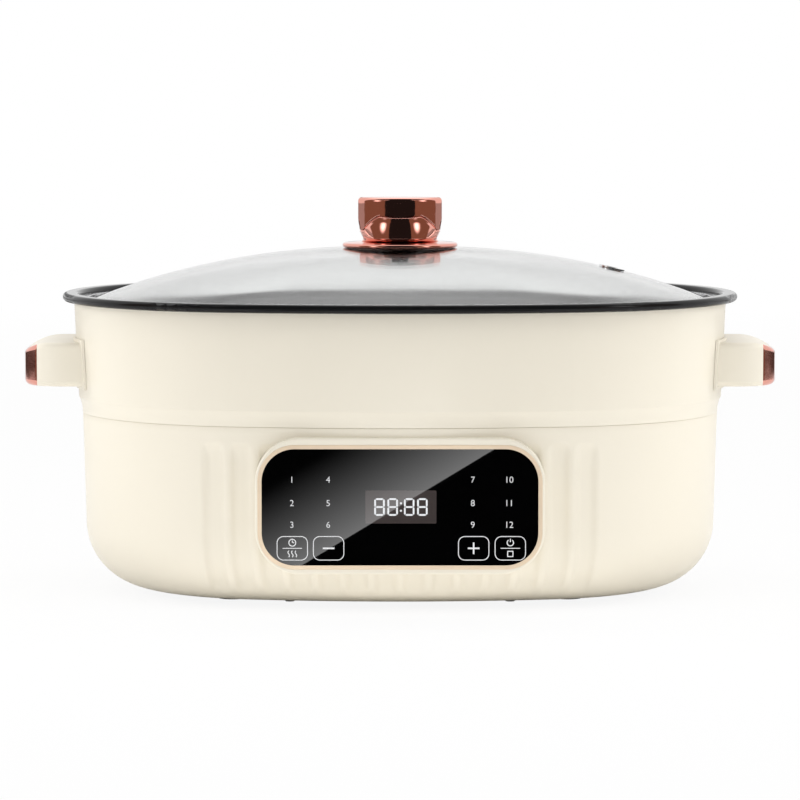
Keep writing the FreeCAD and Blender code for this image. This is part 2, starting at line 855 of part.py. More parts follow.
def screws(name, places, top, length, head_below=True):
    """Screws whose heads meet a face: the shanks run up from it, or down from it."""
    body = new_body(name)
    if head_below:
        discs(body, places, size.screw_head_radius, top - size.screw_head_height, size.screw_head_height)
        discs(body, places, size.thread_radius, top, length)
    else:
        discs(body, places, size.screw_head_radius, top, size.screw_head_height)
        discs(body, places, size.thread_radius, top - length, length)
    return piece(body, name)


bottom_cover()
rubber_feet()
screws("bottom_screws", screw_places(), size.foot_height, size.screw_length)


# ---------------------------------------------------------------- tray, heating plate and element

def post_places():
    along = size.half_depth - size.plate_inset - size.post_margin
    return [(x * size.post_across, sized(0)) for x in (-1, 1)] + \
           [(sized(0), y * along) for y in (-1, 1)]


def terminal_places():
    """The two cold ends of the element, at its left end."""
    across = -side(size.element_inset) + size.element_radius
    return [(across, y * size.terminal_across / 2) for y in (-1, 1)]


def heat_tray():
    tray = new_body("heat_tray")
    floor_edge = TRAY_WALL + size.tray_corner
    core = floor_edge + size.core_margin
    corner_top = size.tray_floor + size.tray_corner
    flange = UPSTAND_EDGE + size.tray_gap
    sweep_round(tray, [
        (flange, LEDGE_TOP), (TRAY_WALL, LEDGE_TOP), (TRAY_WALL, corner_top, -size.tray_corner),
        (floor_edge, size.tray_floor), (core, size.tray_floor), (core, TRAY_TOP),
        (floor_edge, TRAY_TOP, size.tray_corner - size.tray_gauge),
        (TRAY_WALL + size.tray_gauge, corner_top),
        (TRAY_WALL + size.tray_gauge, LEDGE_TOP + size.tray_gauge),
        (flange, LEDGE_TOP + size.tray_gauge),
    ])
    oval_slab(tray, core - size.core_overlap, size.tray_floor, size.tray_gauge)
    guide_hole = size.probe_radius + size.probe_clearance + size.guide_wall + size.tray_gap
    discs(tray, [(0, 0)], guide_hole, size.tray_floor, size.tray_gauge, cut=True)
    discs(tray, post_places(), size.clear_hole, size.tray_floor, size.tray_gauge, cut=True)
    discs(tray, terminal_places(), size.terminal_hole, size.tray_floor, size.tray_gauge, cut=True)
    return piece(tray, "heat_tray")


def heating_plate():
    plate = new_body("heating_plate")
    slab = oval_slab(plate, size.plate_inset, PLATE_BOTTOM, size.plate_thickness)
    soften(plate, slab, size.plate_edge, lambda edge: lies_at(edge, "Z", size.plate_top))
    discs(plate, [(0, 0)], size.plate_bore, PLATE_BOTTOM, size.plate_thickness, cut=True)
    discs(plate, post_places(), size.thread_radius, PLATE_BOTTOM, size.plate_screw_depth, cut=True)
    path = new_sketch(plate, offset=PLATE_BOTTOM)
    trace_oval(path, size.element_inset)
    section = new_sketch(plate, "XZ_Plane")
    groove_radius = size.element_radius + size.element_play
    trace_circle(section, side(size.element_inset), PLATE_BOTTOM, groove_radius)
    groove = plate.newObject("PartDesign::SubtractivePipe", "element_groove")
    groove.Profile = section
    groove.Spine = (path, [])
    return piece(plate, "heating_plate")


def heating_element():
    element = new_body("heating_element")
    path = new_sketch(element, offset=PLATE_BOTTOM)
    trace_oval(path, size.element_inset)
    section = new_sketch(element, "XZ_Plane")
    trace_circle(section, side(size.element_inset), PLATE_BOTTOM, size.element_radius)
    tube = element.newObject("PartDesign::AdditivePipe", "element_tube")
    tube.Profile = section
    tube.Spine = (path, [])
    discs(element, terminal_places(), size.terminal_radius, size.terminal_end,
          PLATE_BOTTOM - size.terminal_end)
    return piece(element, "heating_element")


def plate_posts():
    posts = new_body("plate_posts")
    discs(posts, post_places(), size.post_radius, TRAY_TOP, PLATE_BOTTOM - TRAY_TOP,
          inner=size.clear_hole)
    return piece(posts, "plate_posts")


heat_tray()
heating_plate()
heating_element()
plate_posts()
screws("plate_screws", post_places(), size.tray_floor,
       PLATE_BOTTOM - size.tray_floor + size.plate_screw_depth - SPARE)


# ---------------------------------------------------------------- temperature probe and fuse

def sensor_guide():
    guide = new_body("sensor_guide")
    bore = size.probe_radius + size.probe_clearance
    outside = bore + size.guide_wall
    floor = size.guide_bottom + size.guide_wall
    flange_top = TRAY_TOP + size.guide_flange_thickness
    spin(guide, [
        (size.clear_hole, size.guide_bottom), (outside, size.guide_bottom), (outside, TRAY_TOP),
        (size.guide_flange, TRAY_TOP), (size.guide_flange, flange_top), (outside, flange_top),
        (outside, size.guide_top), (bore, size.guide_top), (bore, floor), (size.clear_hole, floor),
    ])
    return piece(guide, "sensor_guide")


def sensor_cap():
    cap = new_body("sensor_cap")
    skirt_end = size.plate_top - size.probe_height
    inside = size.probe_radius - size.probe_wall
    underside = size.plate_top - size.probe_wall
    spin(cap, [
        (0, underside), (inside, underside), (inside, skirt_end), (size.probe_radius, skirt_end),
        (size.probe_radius, size.plate_top), (0, size.plate_top),
    ])
    return piece(cap, "sensor_cap")


def sensor_spring():
    spring = new_body("sensor_spring")
    bottom = size.guide_bottom + size.guide_wall + size.spring_wire + size.spring_play
    top = size.plate_top - size.probe_wall - size.spring_wire - size.spring_play
    section = new_sketch(spring, "XZ_Plane")
    trace_circle(section, size.spring_radius, bottom, size.spring_wire)
    coil = spring.newObject("PartDesign::AdditiveHelix", "coil")
    coil.Profile = section
    coil.ReferenceAxis = (section, ["V_Axis"])
    coil.Mode = "height-turns-angle"
    bind(coil, "Height", top - bottom)
    bind(coil, "Turns", size.spring_turns)
    return piece(spring, "sensor_spring")


def thermal_fuse():
    fuse_bottom = PLATE_BOTTOM - size.fuse_radius
    body = rod("thermal_fuse", size.fuse_radius, size.fuse_length,
               (size.fuse_across, -size.fuse_length / 2, fuse_bottom), Vector(0, 1, 0))
    piece(body, "thermal_fuse")
    gauge = size.clip_gauge
    low = fuse_bottom - size.fuse_radius - gauge
    half = size.clip_width / 2
    wide = size.fuse_radius + gauge
    clip = new_body("fuse_clip")
    section = new_sketch(clip, "XZ_Plane", -half)
    left, right = size.fuse_across - wide, size.fuse_across + wide
    trace(section, [
        (left - size.clip_ear, PLATE_BOTTOM - gauge), (left, PLATE_BOTTOM - gauge), (left, low),
        (right, low), (right, PLATE_BOTTOM), (right - gauge, PLATE_BOTTOM), (right - gauge, low + gauge),
        (left + gauge, low + gauge), (left + gauge, PLATE_BOTTOM), (left - size.clip_ear, PLATE_BOTTOM),
    ])
    pad(clip, section, size.clip_width)
    return piece(clip, "fuse_clip")


sensor_guide()
sensor_cap()
sensor_spring()
thermal_fuse()


# ---------------------------------------------------------------- power board

def power_board():
    board = new_body("power_board")
    sketch = new_sketch(board, offset=BOARD_BOTTOM)
    trace_box(sketch, size.board_length / 2, size.board_width / 2, middle=(-BOARD_MIDDLE, 0))
    pad(board, sketch, size.board_thickness)
    discs(board, board_corners(), size.clear_hole, BOARD_BOTTOM, size.board_thickness, cut=True)
    return piece(board, "power_board")


def board_components():
    """A transformer, two relays and two capacitors that stand on the power board."""
    left = -BOARD_MIDDLE

    def upright(name, across, along, length, width, height):
        low = (across - length / 2, along - width / 2, BOARD_TOP)
        high = (across + length / 2, along + width / 2, BOARD_TOP + height)
        return block(name, low, high)

    parts = [upright("transformer", left + size.transformer_across, size.transformer_along,
                     size.transformer_length, size.transformer_width, size.transformer_height)]
    for number, along in enumerate((-size.relay_along, size.relay_along), start=1):
        parts.append(upright(f"relay_{number}", left + size.relay_across, along, size.relay_length,
                             size.relay_width, size.relay_height))
    for number, along in enumerate((size.capacitor_front, size.capacitor_back), start=1):
        start = (left + size.capacitor_across, along, BOARD_TOP)
        parts.append(rod(f"capacitor_{number}", size.capacitor_radius, size.capacitor_height, start))
    return piece(group("board_components", *parts), "board_components")


power_board()
board_components()
screws("board_screws", board_corners(), BOARD_TOP, size.board_thickness + size.standoff_height,
       head_below=False)


# ---------------------------------------------------------------- control panel

def framed(body, start, half_width, half_height, corner, middle=size.panel_height):
    """A rounded rectangle on a plane parallel to the panel, at a distance in front of the middle."""
    sketch = new_sketch(body, "XZ_Plane", start)
    trace_box(sketch, half_width, half_height, corner, (0, middle))
    return sketch


def panel_bezel():
    """The frame round the glass, with a neck that goes through the wall and carries the board."""
    reach = size.bezel_reach
    frame = new_body("bezel_frame")
    half_width = size.glass_half_width + size.trim_width
    half_height = size.glass_half_height + size.trim_width
    corner = size.glass_corner + size.trim_width
    outer = framed(frame, PANEL_FACE - reach, half_width + size.bezel_border,
                   half_height + size.bezel_brow, corner + size.bezel_turn, BEZEL_MIDDLE)
    slab = pad(frame, outer, reach)
    soften(frame, slab, size.bezel_edge, lambda edge: lies_at(edge, "Y", -PANEL_FACE))
    recess = framed(frame, PANEL_FACE, half_width, half_height, corner)
    pocket(frame, recess, PANEL_FACE - PANEL_BACK)
    seated = cut("bezel_seated", frame, FORM)
    neck = new_body("bezel_neck")
    outline = framed(neck, NECK_END, size.glass_half_width, size.glass_half_height,
                     size.glass_corner)
    pad(neck, outline, PANEL_BACK - NECK_END)
    space = new_body("bezel_space")
    back = PANEL_FACE - reach - SPARE
    wall = size.neck_wall
    board_space = framed(space, back, size.glass_half_width - wall, size.glass_half_height - wall,
                         size.glass_corner - wall)
    pad(space, board_space, BOARD_FACE - back)
    rim = size.neck_wall + size.step_width
    opening = framed(space, back, size.glass_half_width - rim, size.glass_half_height - rim,
                     size.glass_corner - rim)
    pad(space, opening, PANEL_BACK + SPARE - back)
    holes = new_sketch(space, "XZ_Plane", back)
    for across, up in panel_screw_places():
        trace_circle(holes, across, up, size.panel_thread)
    pad(space, holes, BOARD_FACE + size.panel_hole_depth - back)
    return piece(cut("panel_bezel", fuse("bezel_whole", seated, neck), space), "panel_bezel")


def panel_screw_places():
    """Four screws in the step behind the glass, where the control board rests."""
    across = size.glass_half_width - size.panel_screw_inset
    up = size.glass_half_height - size.neck_wall - size.step_width / 2
    return [(x * across, size.panel_height + y * up) for x in (-1, 1) for y in (-1, 1)]


def panel_trim():
    trim = new_body("panel_trim")
    outer = framed(trim, PANEL_BACK, size.glass_half_width + size.trim_width,
                   size.glass_half_height + size.trim_width, size.glass_corner + size.trim_width)
    height = PANEL_FACE + size.trim_proud - PANEL_BACK
    slab = pad(trim, outer, height)
    face = PANEL_FACE + size.trim_proud
    soften(trim, slab, size.trim_edge, lambda edge: lies_at(edge, "Y", -face))
    inner = framed(trim, face, size.glass_half_width, size.glass_half_height, size.glass_corner)
    pocket(trim, inner, height)
    return piece(trim, "panel_trim")


def panel_glass():
    glass = new_body("panel_glass")
    sketch = framed(glass, PANEL_BACK, size.glass_half_width, size.glass_half_height, size.glass_corner)
    pad(glass, sketch, size.glass_thickness)
    return piece(glass, "panel_glass")


def control_board():
    board = new_body("control_board")
    gap = size.neck_wall + size.control_board_gap
    sketch = framed(board, BOARD_FACE - size.board_thickness, size.glass_half_width - gap,
                    size.glass_half_height - gap, size.glass_corner - gap)
    pad(board, sketch, size.board_thickness)
    holes = new_sketch(board, "XZ_Plane", BOARD_FACE)
    for across, up in panel_screw_places():
        trace_circle(holes, across, up, size.panel_screw_hole)
    pocket(board, holes, size.board_thickness)
    return piece(board, "control_board")


def display_module():
    module = new_body("display_module")
    sketch = new_sketch(module, "XZ_Plane", BOARD_FACE)
    trace_box(sketch, size.display_half_width, size.display_half_height,
              middle=(0, size.panel_height + size.display_rise))
    pad(module, sketch, size.board_stand - size.display_gap)
    return piece(module, "display_module")


def touch_springs():
    """Four sleeves that carry the touch of a finger from the glass to the control board."""
    sleeves = new_body("touch_springs")
    insets = (size.key_inner_inset, size.key_outer_inset)
    across = [sign * (size.glass_half_width - inset) for sign in (-1, 1) for inset in insets]
    places = [(place, size.panel_height - size.key_drop) for place in across]
    discs(sleeves, places, size.touch_radius, BOARD_FACE, size.board_stand, role="XZ_Plane",
          inner=size.touch_radius - size.touch_wire)
    return piece(sleeves, "touch_springs")


def panel_screws():
    fixings = new_body("panel_screws")
    seat = BOARD_FACE - size.board_thickness
    discs(fixings, panel_screw_places(), size.panel_head_radius, seat - size.panel_head_height,
          size.panel_head_height, role="XZ_Plane")
    discs(fixings, panel_screw_places(), size.panel_thread, seat, size.panel_screw_length,
          role="XZ_Plane")
    return piece(fixings, "panel_screws")


panel_bezel()
panel_trim()
panel_glass()
control_board()
display_module()
touch_springs()
panel_screws()


# ---------------------------------------------------------------- power inlet

def power_inlet():
    """A socket that goes through the back wall, with a flange that lies on the wall's outside."""
    flange = new_body("inlet_flange")
    outside = size.half_depth - wall_inset(size.inlet_height) + size.inlet_flange_proud
    sketch = new_sketch(flange, "XZ_Plane", -outside)
    trace_box(sketch, size.inlet_flange_width, size.inlet_flange_height, size.inlet_corner,
              (0, size.inlet_height))
    pad(flange, sketch, size.inlet_flange_depth)
    seated = cut("inlet_seated", flange, FORM)
    barrel = new_body("inlet_barrel")
    sketch = new_sketch(barrel, "XZ_Plane", -INLET_FACE)
    trace_box(sketch, size.inlet_half_width, size.inlet_half_height, size.inlet_corner,
              (0, size.inlet_height))
    pad(barrel, sketch, INLET_FACE - INLET_BACK)
    whole = fuse("inlet_whole", seated, barrel)
    space = new_body("inlet_space")
    sketch = new_sketch(space, "XZ_Plane", -(INLET_FACE + SPARE))
    trace_box(sketch, size.inlet_half_width - size.inlet_wall, size.inlet_half_height - size.inlet_wall,
              size.inlet_mouth_corner, (0, size.inlet_height))
    pad(space, sketch, size.inlet_depth + SPARE)
    holes = new_sketch(space, "XZ_Plane", -(INLET_FACE + SPARE))
    for across, up in pin_places():
        trace_circle(holes, across, up, size.pin_radius)
    pad(space, holes, INLET_FACE - INLET_BACK + 2 * SPARE)
    ways = new_sketch(space, "XZ_Plane", -(INLET_FACE + SPARE))
    for sign in (-1, 1):
        trace_circle(ways, sign * size.inlet_screw_across, size.inlet_height, size.clear_hole)
    pad(space, ways, INLET_FACE - INLET_BACK + 2 * SPARE)
    return piece(cut("power_inlet", whole, space), "power_inlet")


def pin_places():
    low = size.inlet_height - size.pin_drop
    high = size.inlet_height + size.pin_drop
    return [(-size.pin_spacing, low), (size.pin_spacing, low), (sized(0), high)]


def inlet_pins():
    pins = new_body("inlet_pins")
    floor = INLET_FACE - size.inlet_depth
    sketch = new_sketch(pins, "XZ_Plane", -(floor + size.pin_length))
    for across, up in pin_places():
        trace_circle(sketch, across, up, size.pin_radius)
    pad(pins, sketch, floor + size.pin_length - INLET_BACK)
    return piece(pins, "inlet_pins")


def inlet_screws():
    body = new_body("inlet_screws")
    places = [(sign * size.inlet_screw_across, size.inlet_height) for sign in (-1, 1)]
    face = size.half_depth - wall_inset(size.inlet_height) + size.inlet_flange_proud
    head = new_sketch(body, "XZ_Plane", -(face + size.screw_head_height))
    shank = new_sketch(body, "XZ_Plane", -face)
    for across, up in places:
        trace_circle(head, across, up, size.screw_head_radius)
        trace_circle(shank, across, up, size.thread_radius)
    pad(body, head, size.screw_head_height)
    pad(body, shank, size.inlet_flange_proud + size.housing_wall)
    return piece(body, "inlet_screws")


power_inlet()
inlet_pins()
inlet_screws()


# ---------------------------------------------------------------- pot and skirt

def inner_pot():
    pot = new_body("inner_pot")
    bead = size.bead_height / 2
    middle = size.rim_top - bead
    floor = size.plate_top + size.pot_gauge
    centre = pot_face(POT_CORNER_TOP) + size.pot_corner * POT_LEAN
    core = centre + size.core_margin
    inner_radius = size.pot_corner - size.pot_gauge
    outer_bend = corner_end(centre, POT_CORNER_TOP, size.pot_corner, POT_SLOPE, POT_LEAN)
    inner_bend = corner_end(centre, POT_CORNER_TOP, inner_radius, POT_SLOPE, POT_LEAN)
    inner_top = pot_face(size.lid_seat) + size.pot_gauge * POT_LEAN
    sweep_round(pot, [
        (0, middle, bead), (bead, size.rim_top), (size.bead_width - bead, size.rim_top, bead),
        (size.bead_width, middle), (size.bead_width, size.lid_seat), (inner_top, size.lid_seat),
        (inner_bend[0], inner_bend[1], -inner_radius),
        (centre, floor), (core, floor), (core, size.plate_top),
        (centre, size.plate_top, size.pot_corner), outer_bend,
        (pot_face(SEAT_UNDERSIDE), SEAT_UNDERSIDE), (NECK_INSET, SEAT_UNDERSIDE),
        (NECK_INSET, BEAD_UNDERSIDE), (bead, BEAD_UNDERSIDE, bead),
    ])
    oval_slab(pot, core - size.core_overlap, size.plate_top, size.pot_gauge)
    return piece(pot, "inner_pot")


def pot_skirt():
    skirt = new_body("pot_skirt")
    edge_height = size.skirt_edge_top - SEAM
    edge = size.skirt_edge
    edge_radius = (edge * edge + edge_height * edge_height) / (2 * edge)
    low_face = skirt_face(size.skirt_edge_top)
    floor_top = SEAM + size.skirt_floor
    floor_end = pot_face(SEAM) - size.skirt_floor_gap
    inner_top = skirt_face(SEAT_UNDERSIDE) + size.skirt_wall
    sweep_round(skirt, [
        (size.skirt_inset, BEAD_UNDERSIDE), (NECK_INSET, BEAD_UNDERSIDE), (NECK_INSET, SEAT_UNDERSIDE),
        (inner_top, SEAT_UNDERSIDE), (low_face + size.skirt_wall, size.skirt_edge_top),
        (low_face + size.skirt_wall + edge, floor_top), (floor_end, floor_top), (floor_end, SEAM),
        (low_face + edge, SEAM, -edge_radius), (low_face, size.skirt_edge_top),
    ])
    ways = new_sketch(skirt, "YZ_Plane", -(size.half_length + SPARE))
    for along, up in handle_screw_places():
        trace_circle(ways, along, up, size.clear_hole)
    pocket(skirt, ways, 2 * (size.half_length + SPARE), backwards=True)
    return piece(skirt, "pot_skirt")


def handle_screw_places():
    height = size.handle_bottom + size.handle_thickness / 2
    return [(sign * size.handle_screw_along, height) for sign in (-1, 1)]


inner_pot()
pot_skirt()


# ---------------------------------------------------------------- handles

def curved_plate(name, outer_offset, gauge, half_width, bottom, top):
    """A plate that follows the skirt's face: its outer side lies outer_offset inside that face."""
    shell = new_body(f"{name}_shell")
    corners = []
    for inset, height in ((outer_offset, top), (outer_offset + gauge, top),
                          (outer_offset + gauge, bottom), (outer_offset, bottom)):
        corners.append((skirt_face(height) + inset, height))
    sweep_round(shell, corners)
    low = (HANDLE_ROOT, -half_width, bottom - SPARE)
    high = (size.half_length, half_width, top + SPARE)
    plate = common(f"{name}_plate", shell, block(f"{name}_range", low, high))
    ways = fuse(f"{name}_ways", *[
        rod(f"{name}_way_{number}", size.clear_hole, size.handle_root_inset, (HANDLE_ROOT, along, up),
            Vector(1, 0, 0))
        for number, (along, up) in enumerate(handle_screw_places(), start=1)])
    return cut(name, plate, ways)


HANDLE_TOP = size.handle_bottom + size.handle_thickness
HANDLE_ROOT = side(size.handle_root_inset)
FALL_START = HANDLE_END - size.handle_fall_length


def trim_seat():
    """Where the trim starts, and how wide the handle is there under the trim."""
    start = HANDLE_END - size.handle_trim_length
    turn = size.handle_corner - size.handle_trim_gauge
    run = start - (HANDLE_END - size.handle_corner)
    half = size.handle_half_width - size.handle_corner + root(turn * turn - run * run)
    return start, half, turn


def outer_edges(edge):
    """The edges round the top, down its fall and round the underside of a handle."""
    fallen = HANDLE_TOP - size.handle_fall - SPARE
    rim = lies_at(edge, "Z", size.handle_bottom) or edge.BoundBox.ZMin > fallen.value
    return rim and not lies_at(edge, "X", HANDLE_ROOT) and not lies_at(edge, "X", FALL_START)


def handle_block(body):
    """The whole handle: square at the pot, rounded at the free end, where its top falls away."""
    plan = new_sketch(body, offset=size.handle_bottom)
    reach, half, corner = HANDLE_END, size.handle_half_width, size.handle_corner
    trace(plan, [
        (HANDLE_ROOT, -half), (reach - corner, -half, corner), (reach, -half + corner),
        (reach, half - corner, corner), (reach - corner, half), (HANDLE_ROOT, half),
    ])
    pad(body, plan, size.handle_thickness)
    wide = half + SPARE
    far, high = HANDLE_END + SPARE, HANDLE_TOP + SPARE
    length, fall = size.handle_fall_length, size.handle_fall
    bend = (length * length + fall * fall) / (2 * fall)
    above = new_sketch(body, "XZ_Plane", wide)
    trace(above, [
        (FALL_START, HANDLE_TOP, -bend), (HANDLE_END, HANDLE_TOP - fall), (far, HANDLE_TOP - fall),
        (far, high), (FALL_START, high),
    ])
    fallen = pocket(body, above, 2 * wide)
    soften(body, fallen, size.handle_edge, outer_edges)


def handle():
    grip = new_body("right_handle")
    handle_block(grip)
    start, seat, turn = trim_seat()
    far = HANDLE_END + SPARE
    wide = size.handle_half_width + SPARE
    tip = HANDLE_END - size.handle_trim_gauge
    straight = size.handle_half_width - size.handle_corner
    rebate = new_sketch(grip, offset=size.handle_bottom)
    trace(rebate, [
        (start, -wide), (far, -wide), (far, wide), (start, wide), (start, seat, -turn), (tip, straight),
        (tip, -straight, -turn), (start, -seat),
    ])
    pocket(grip, rebate, size.handle_thickness, backwards=True)
    hollow = new_sketch(grip, offset=size.handle_bottom)
    trace_box(hollow, (GRIP_END - GRIP_START) / 2, size.grip_half_width, size.grip_corner,
              ((GRIP_START + GRIP_END) / 2, 0))
    pocket(grip, hollow, size.grip_depth, backwards=True)
    high = HANDLE_TOP + size.flange_margin
    low = size.handle_bottom - size.flange_margin
    inside = size.half_length - HANDLE_ROOT + SPARE
    sweep_round(grip, [
        (skirt_face(high) - size.flange_gauge, high), (inside, high), (inside, low),
        (skirt_face(low) - size.flange_gauge, low),
    ], kind="PartDesign::SubtractivePipe")
    holes = new_sketch(grip, "YZ_Plane", HANDLE_ROOT)
    for along, up in handle_screw_places():
        trace_circle(holes, along, up, size.thread_radius)
    pocket(grip, holes, GRIP_START - SPARE - HANDLE_ROOT, backwards=True)
    return piece(grip, "right_handle")


def handle_trim():
    trim = new_body("right_trim")
    handle_block(trim)
    start, seat, turn = trim_seat()
    tip = HANDLE_END - size.handle_trim_gauge
    straight = size.handle_half_width - size.handle_corner
    wide = size.handle_half_width + SPARE
    back = HANDLE_ROOT - SPARE
    inner = new_sketch(trim, offset=size.handle_bottom)
    trace(inner, [
        (back, -wide), (start, -wide), (start, -seat, turn), (tip, -straight), (tip, straight, turn),
        (start, seat), (start, wide), (back, wide),
    ])
    pocket(trim, inner, size.handle_thickness, backwards=True)
    return piece(trim, "right_trim")


def handle_screws():
    body = new_body("right_handle_screws")
    far = size.handle_screw_along + size.screw_head_radius
    low = size.handle_bottom + size.handle_thickness / 2 - size.screw_head_radius
    inner = END_RADIUS - (skirt_face(low) + size.skirt_wall + size.plate_gap + size.bracket_gauge)
    place = END_CENTRE + root(inner * inner - far * far)
    discs(body, handle_screw_places(), size.screw_head_radius, place - size.screw_head_height,
          size.screw_head_height, role="YZ_Plane")
    discs(body, handle_screw_places(), size.thread_radius, place, size.handle_screw_length,
          role="YZ_Plane")
    return piece(body, "right_handle_screws")


def handle_set():
    """Everything of the right handle, and its mirror image on the left."""
    flange = curved_plate("right_flange", -size.flange_gauge, size.flange_gauge - size.plate_gap,
                          size.handle_half_width + size.flange_margin,
                          size.handle_bottom - size.flange_margin, HANDLE_TOP + size.flange_margin)
    bracket = curved_plate("right_bracket", size.skirt_wall + size.plate_gap, size.bracket_gauge,
                           size.bracket_half_width, size.handle_bottom + size.bracket_margin,
                           HANDLE_TOP - size.bracket_margin)
    rights = [piece(flange, "right_flange"), piece(bracket, "right_bracket"), handle(), handle_trim(),
              handle_screws()]
    for right in rights:
        name = right.Label.replace("right", "left")
        piece(mirrored(name, right), name)


handle_set()


# ---------------------------------------------------------------- lid

DOME_HALF = size.half_length - size.dome_inset
DOME_RUN = DOME_HALF - size.dome_flat
DOME_RISE = size.dome_top - GLASS_RIM_TOP
DOME_RADIUS = (DOME_RUN * DOME_RUN + DOME_RISE * DOME_RISE) / (2 * DOME_RISE)
DOME_STEPS = 7


def dome_height(across):
    """The height of the glass over the pot's long middle line."""
    run = across - size.dome_flat
    return size.dome_top - DOME_RADIUS + root(DOME_RADIUS * DOME_RADIUS - run * run)


def dome(body, drop, kind):
    """A dome through level ovals, from the flat middle out to the rim of the glass."""
    sections = []
    for step in range(DOME_STEPS + 1):
        across = size.dome_flat + DOME_RUN * (step / DOME_STEPS)
        level = new_sketch(body, offset=dome_height(across) - drop)
        trace_oval(level, size.dome_inset, across / DOME_HALF)
        sections.append(level)
    loft = body.newObject(kind, f"{body.Name}_dome")
    loft.Profile = sections[-1]
    loft.Sections = sections[-2::-1]
    return loft


def lid_glass():
    glass = new_body("lid_glass")
    edge = size.bead_width + size.lid_clearance + size.band_gauge
    inner = size.dome_inset + size.dome_overlap
    sweep_round(glass, [
        (edge, GLASS_UNDERSIDE), (edge, GLASS_RIM_TOP), (inner, GLASS_RIM_TOP), (inner, GLASS_UNDERSIDE),
    ])
    dome(glass, 0, "PartDesign::AdditiveLoft")
    dome(glass, size.lid_glass_thickness, "PartDesign::SubtractiveLoft")
    bore = new_sketch(glass, offset=GLASS_UNDERSIDE)
    trace_circle(bore, 0, 0, size.lid_bore)
    trace_circle(bore, VENT_ACROSS, 0, size.vent_hole)
    pocket(glass, bore, size.dome_top - GLASS_UNDERSIDE + SPARE, backwards=True)
    return piece(glass, "lid_glass")


def lid_band():
    """The steel channel folded round the edge of the glass."""
    band = new_body("lid_band")
    outside = size.bead_width + size.lid_clearance
    web = outside + size.band_gauge
    tip = outside + size.band_width
    top = GLASS_RIM_TOP + size.band_gauge
    sweep_round(band, [
        (outside, size.lid_seat), (outside, top), (tip, top), (tip, GLASS_RIM_TOP), (web, GLASS_RIM_TOP),
        (web, GLASS_UNDERSIDE), (tip, GLASS_UNDERSIDE), (tip, size.lid_seat),
    ])
    return piece(band, "lid_band")


def steam_vent():
    """An eyelet clamped in the glass, square to the slope of the dome."""
    vent = new_body("steam_vent")
    flange = size.vent_flange_gauge
    above = size.vent_play
    below = -(size.lid_glass_thickness + size.vent_play)
    spin(vent, [
        (size.vent_bore, below - flange), (size.vent_flange_radius, below - flange),
        (size.vent_flange_radius, below), (size.vent_neck_radius, below),
        (size.vent_neck_radius, above), (size.vent_flange_radius, above),
        (size.vent_flange_radius, flange + above), (size.vent_bore, flange + above),
    ])
    run = VENT_ACROSS - size.dome_flat
    slope = f"asin({(run / DOME_RADIUS).text})"
    angle = math.degrees(math.asin((run / DOME_RADIUS).value))
    vent.Placement = FreeCAD.Placement(Vector(), FreeCAD.Rotation(Vector(0, 1, 0), angle))
    vent.setExpression("Placement.Rotation.Angle", slope)
    bind(vent, "Placement.Base.x", VENT_ACROSS)
    bind(vent, "Placement.Base.z", dome_height(VENT_ACROSS))
    return piece(vent, "steam_vent")


lid_glass()
lid_band()
steam_vent()


# ---------------------------------------------------------------- knob

KNOB_SEAT = size.dome_top + size.knob_plate_edge + size.knob_plate_rise


def knob_plate():
    plate = new_body("knob_plate")
    bore = size.knob_screw_radius + size.knob_screw_clearance
    edge = size.dome_top + size.knob_plate_edge
    spin(plate, [
        (bore, size.dome_top), (size.knob_plate_radius, size.dome_top), (size.knob_plate_radius, edge),
        (size.knob_waist_radius, KNOB_SEAT), (bore, KNOB_SEAT),
    ])
    return piece(plate, "knob_plate")


def knob():
    """A bowl that bulges to the front and back, with a broad web across it that a hand takes."""
    body = new_body("knob")
    bottom = KNOB_SEAT
    waist = bottom + size.knob_foot_height
    turned = spin(body, [
        (0, bottom), (size.knob_foot_radius, bottom), (size.knob_waist_radius, waist),
        (size.knob_top_radius, size.knob_top), (0, size.knob_top),
    ])
    soften(body, turned, size.knob_edge, lambda edge: lies_at(edge, "Z", size.knob_top))
    wide = size.knob_top_radius + SPARE
    high = size.knob_top + SPARE
    for face, backwards in ((size.knob_web_half, True), (-size.knob_web_half, False)):
        scoop = new_sketch(body, "XZ_Plane", face)
        trace(scoop, [
            (-wide, size.knob_ledge_side), (-size.knob_waist_radius, size.knob_ledge_side),
            (-size.knob_ledge_half, size.knob_ledge), (size.knob_ledge_half, size.knob_ledge),
            (size.knob_waist_radius, size.knob_ledge_side), (wide, size.knob_ledge_side), (wide, high),
            (-wide, high),
        ])
        pocket(body, scoop, wide, backwards=backwards)
    bore = size.knob_screw_radius + size.knob_screw_clearance
    discs(body, [(0, 0)], bore, bottom, size.knob_screw_reach, cut=True)
    return piece(body, "knob")


def knob_fixing():
    """The screw and its washer under the glass."""
    under = size.dome_top - size.lid_glass_thickness
    washer = new_body("knob_washer")
    discs(washer, [(0, 0)], size.knob_washer_radius, under - size.knob_washer_gauge,
          size.knob_washer_gauge, inner=size.knob_screw_radius + size.knob_screw_clearance)
    piece(washer, "knob_washer")
    screw = new_body("knob_screw")
    head_top = under - size.knob_washer_gauge
    discs(screw, [(0, 0)], size.knob_screw_head_radius, head_top - size.knob_screw_head_height,
          size.knob_screw_head_height)
    discs(screw, [(0, 0)], size.knob_screw_radius, head_top,
          KNOB_SEAT + size.knob_screw_reach - 2 * SPARE - head_top)
    piece(screw, "knob_screw")


knob_plate()
knob()
knob_fixing()


# ---------------------------------------------------------------- checks and files

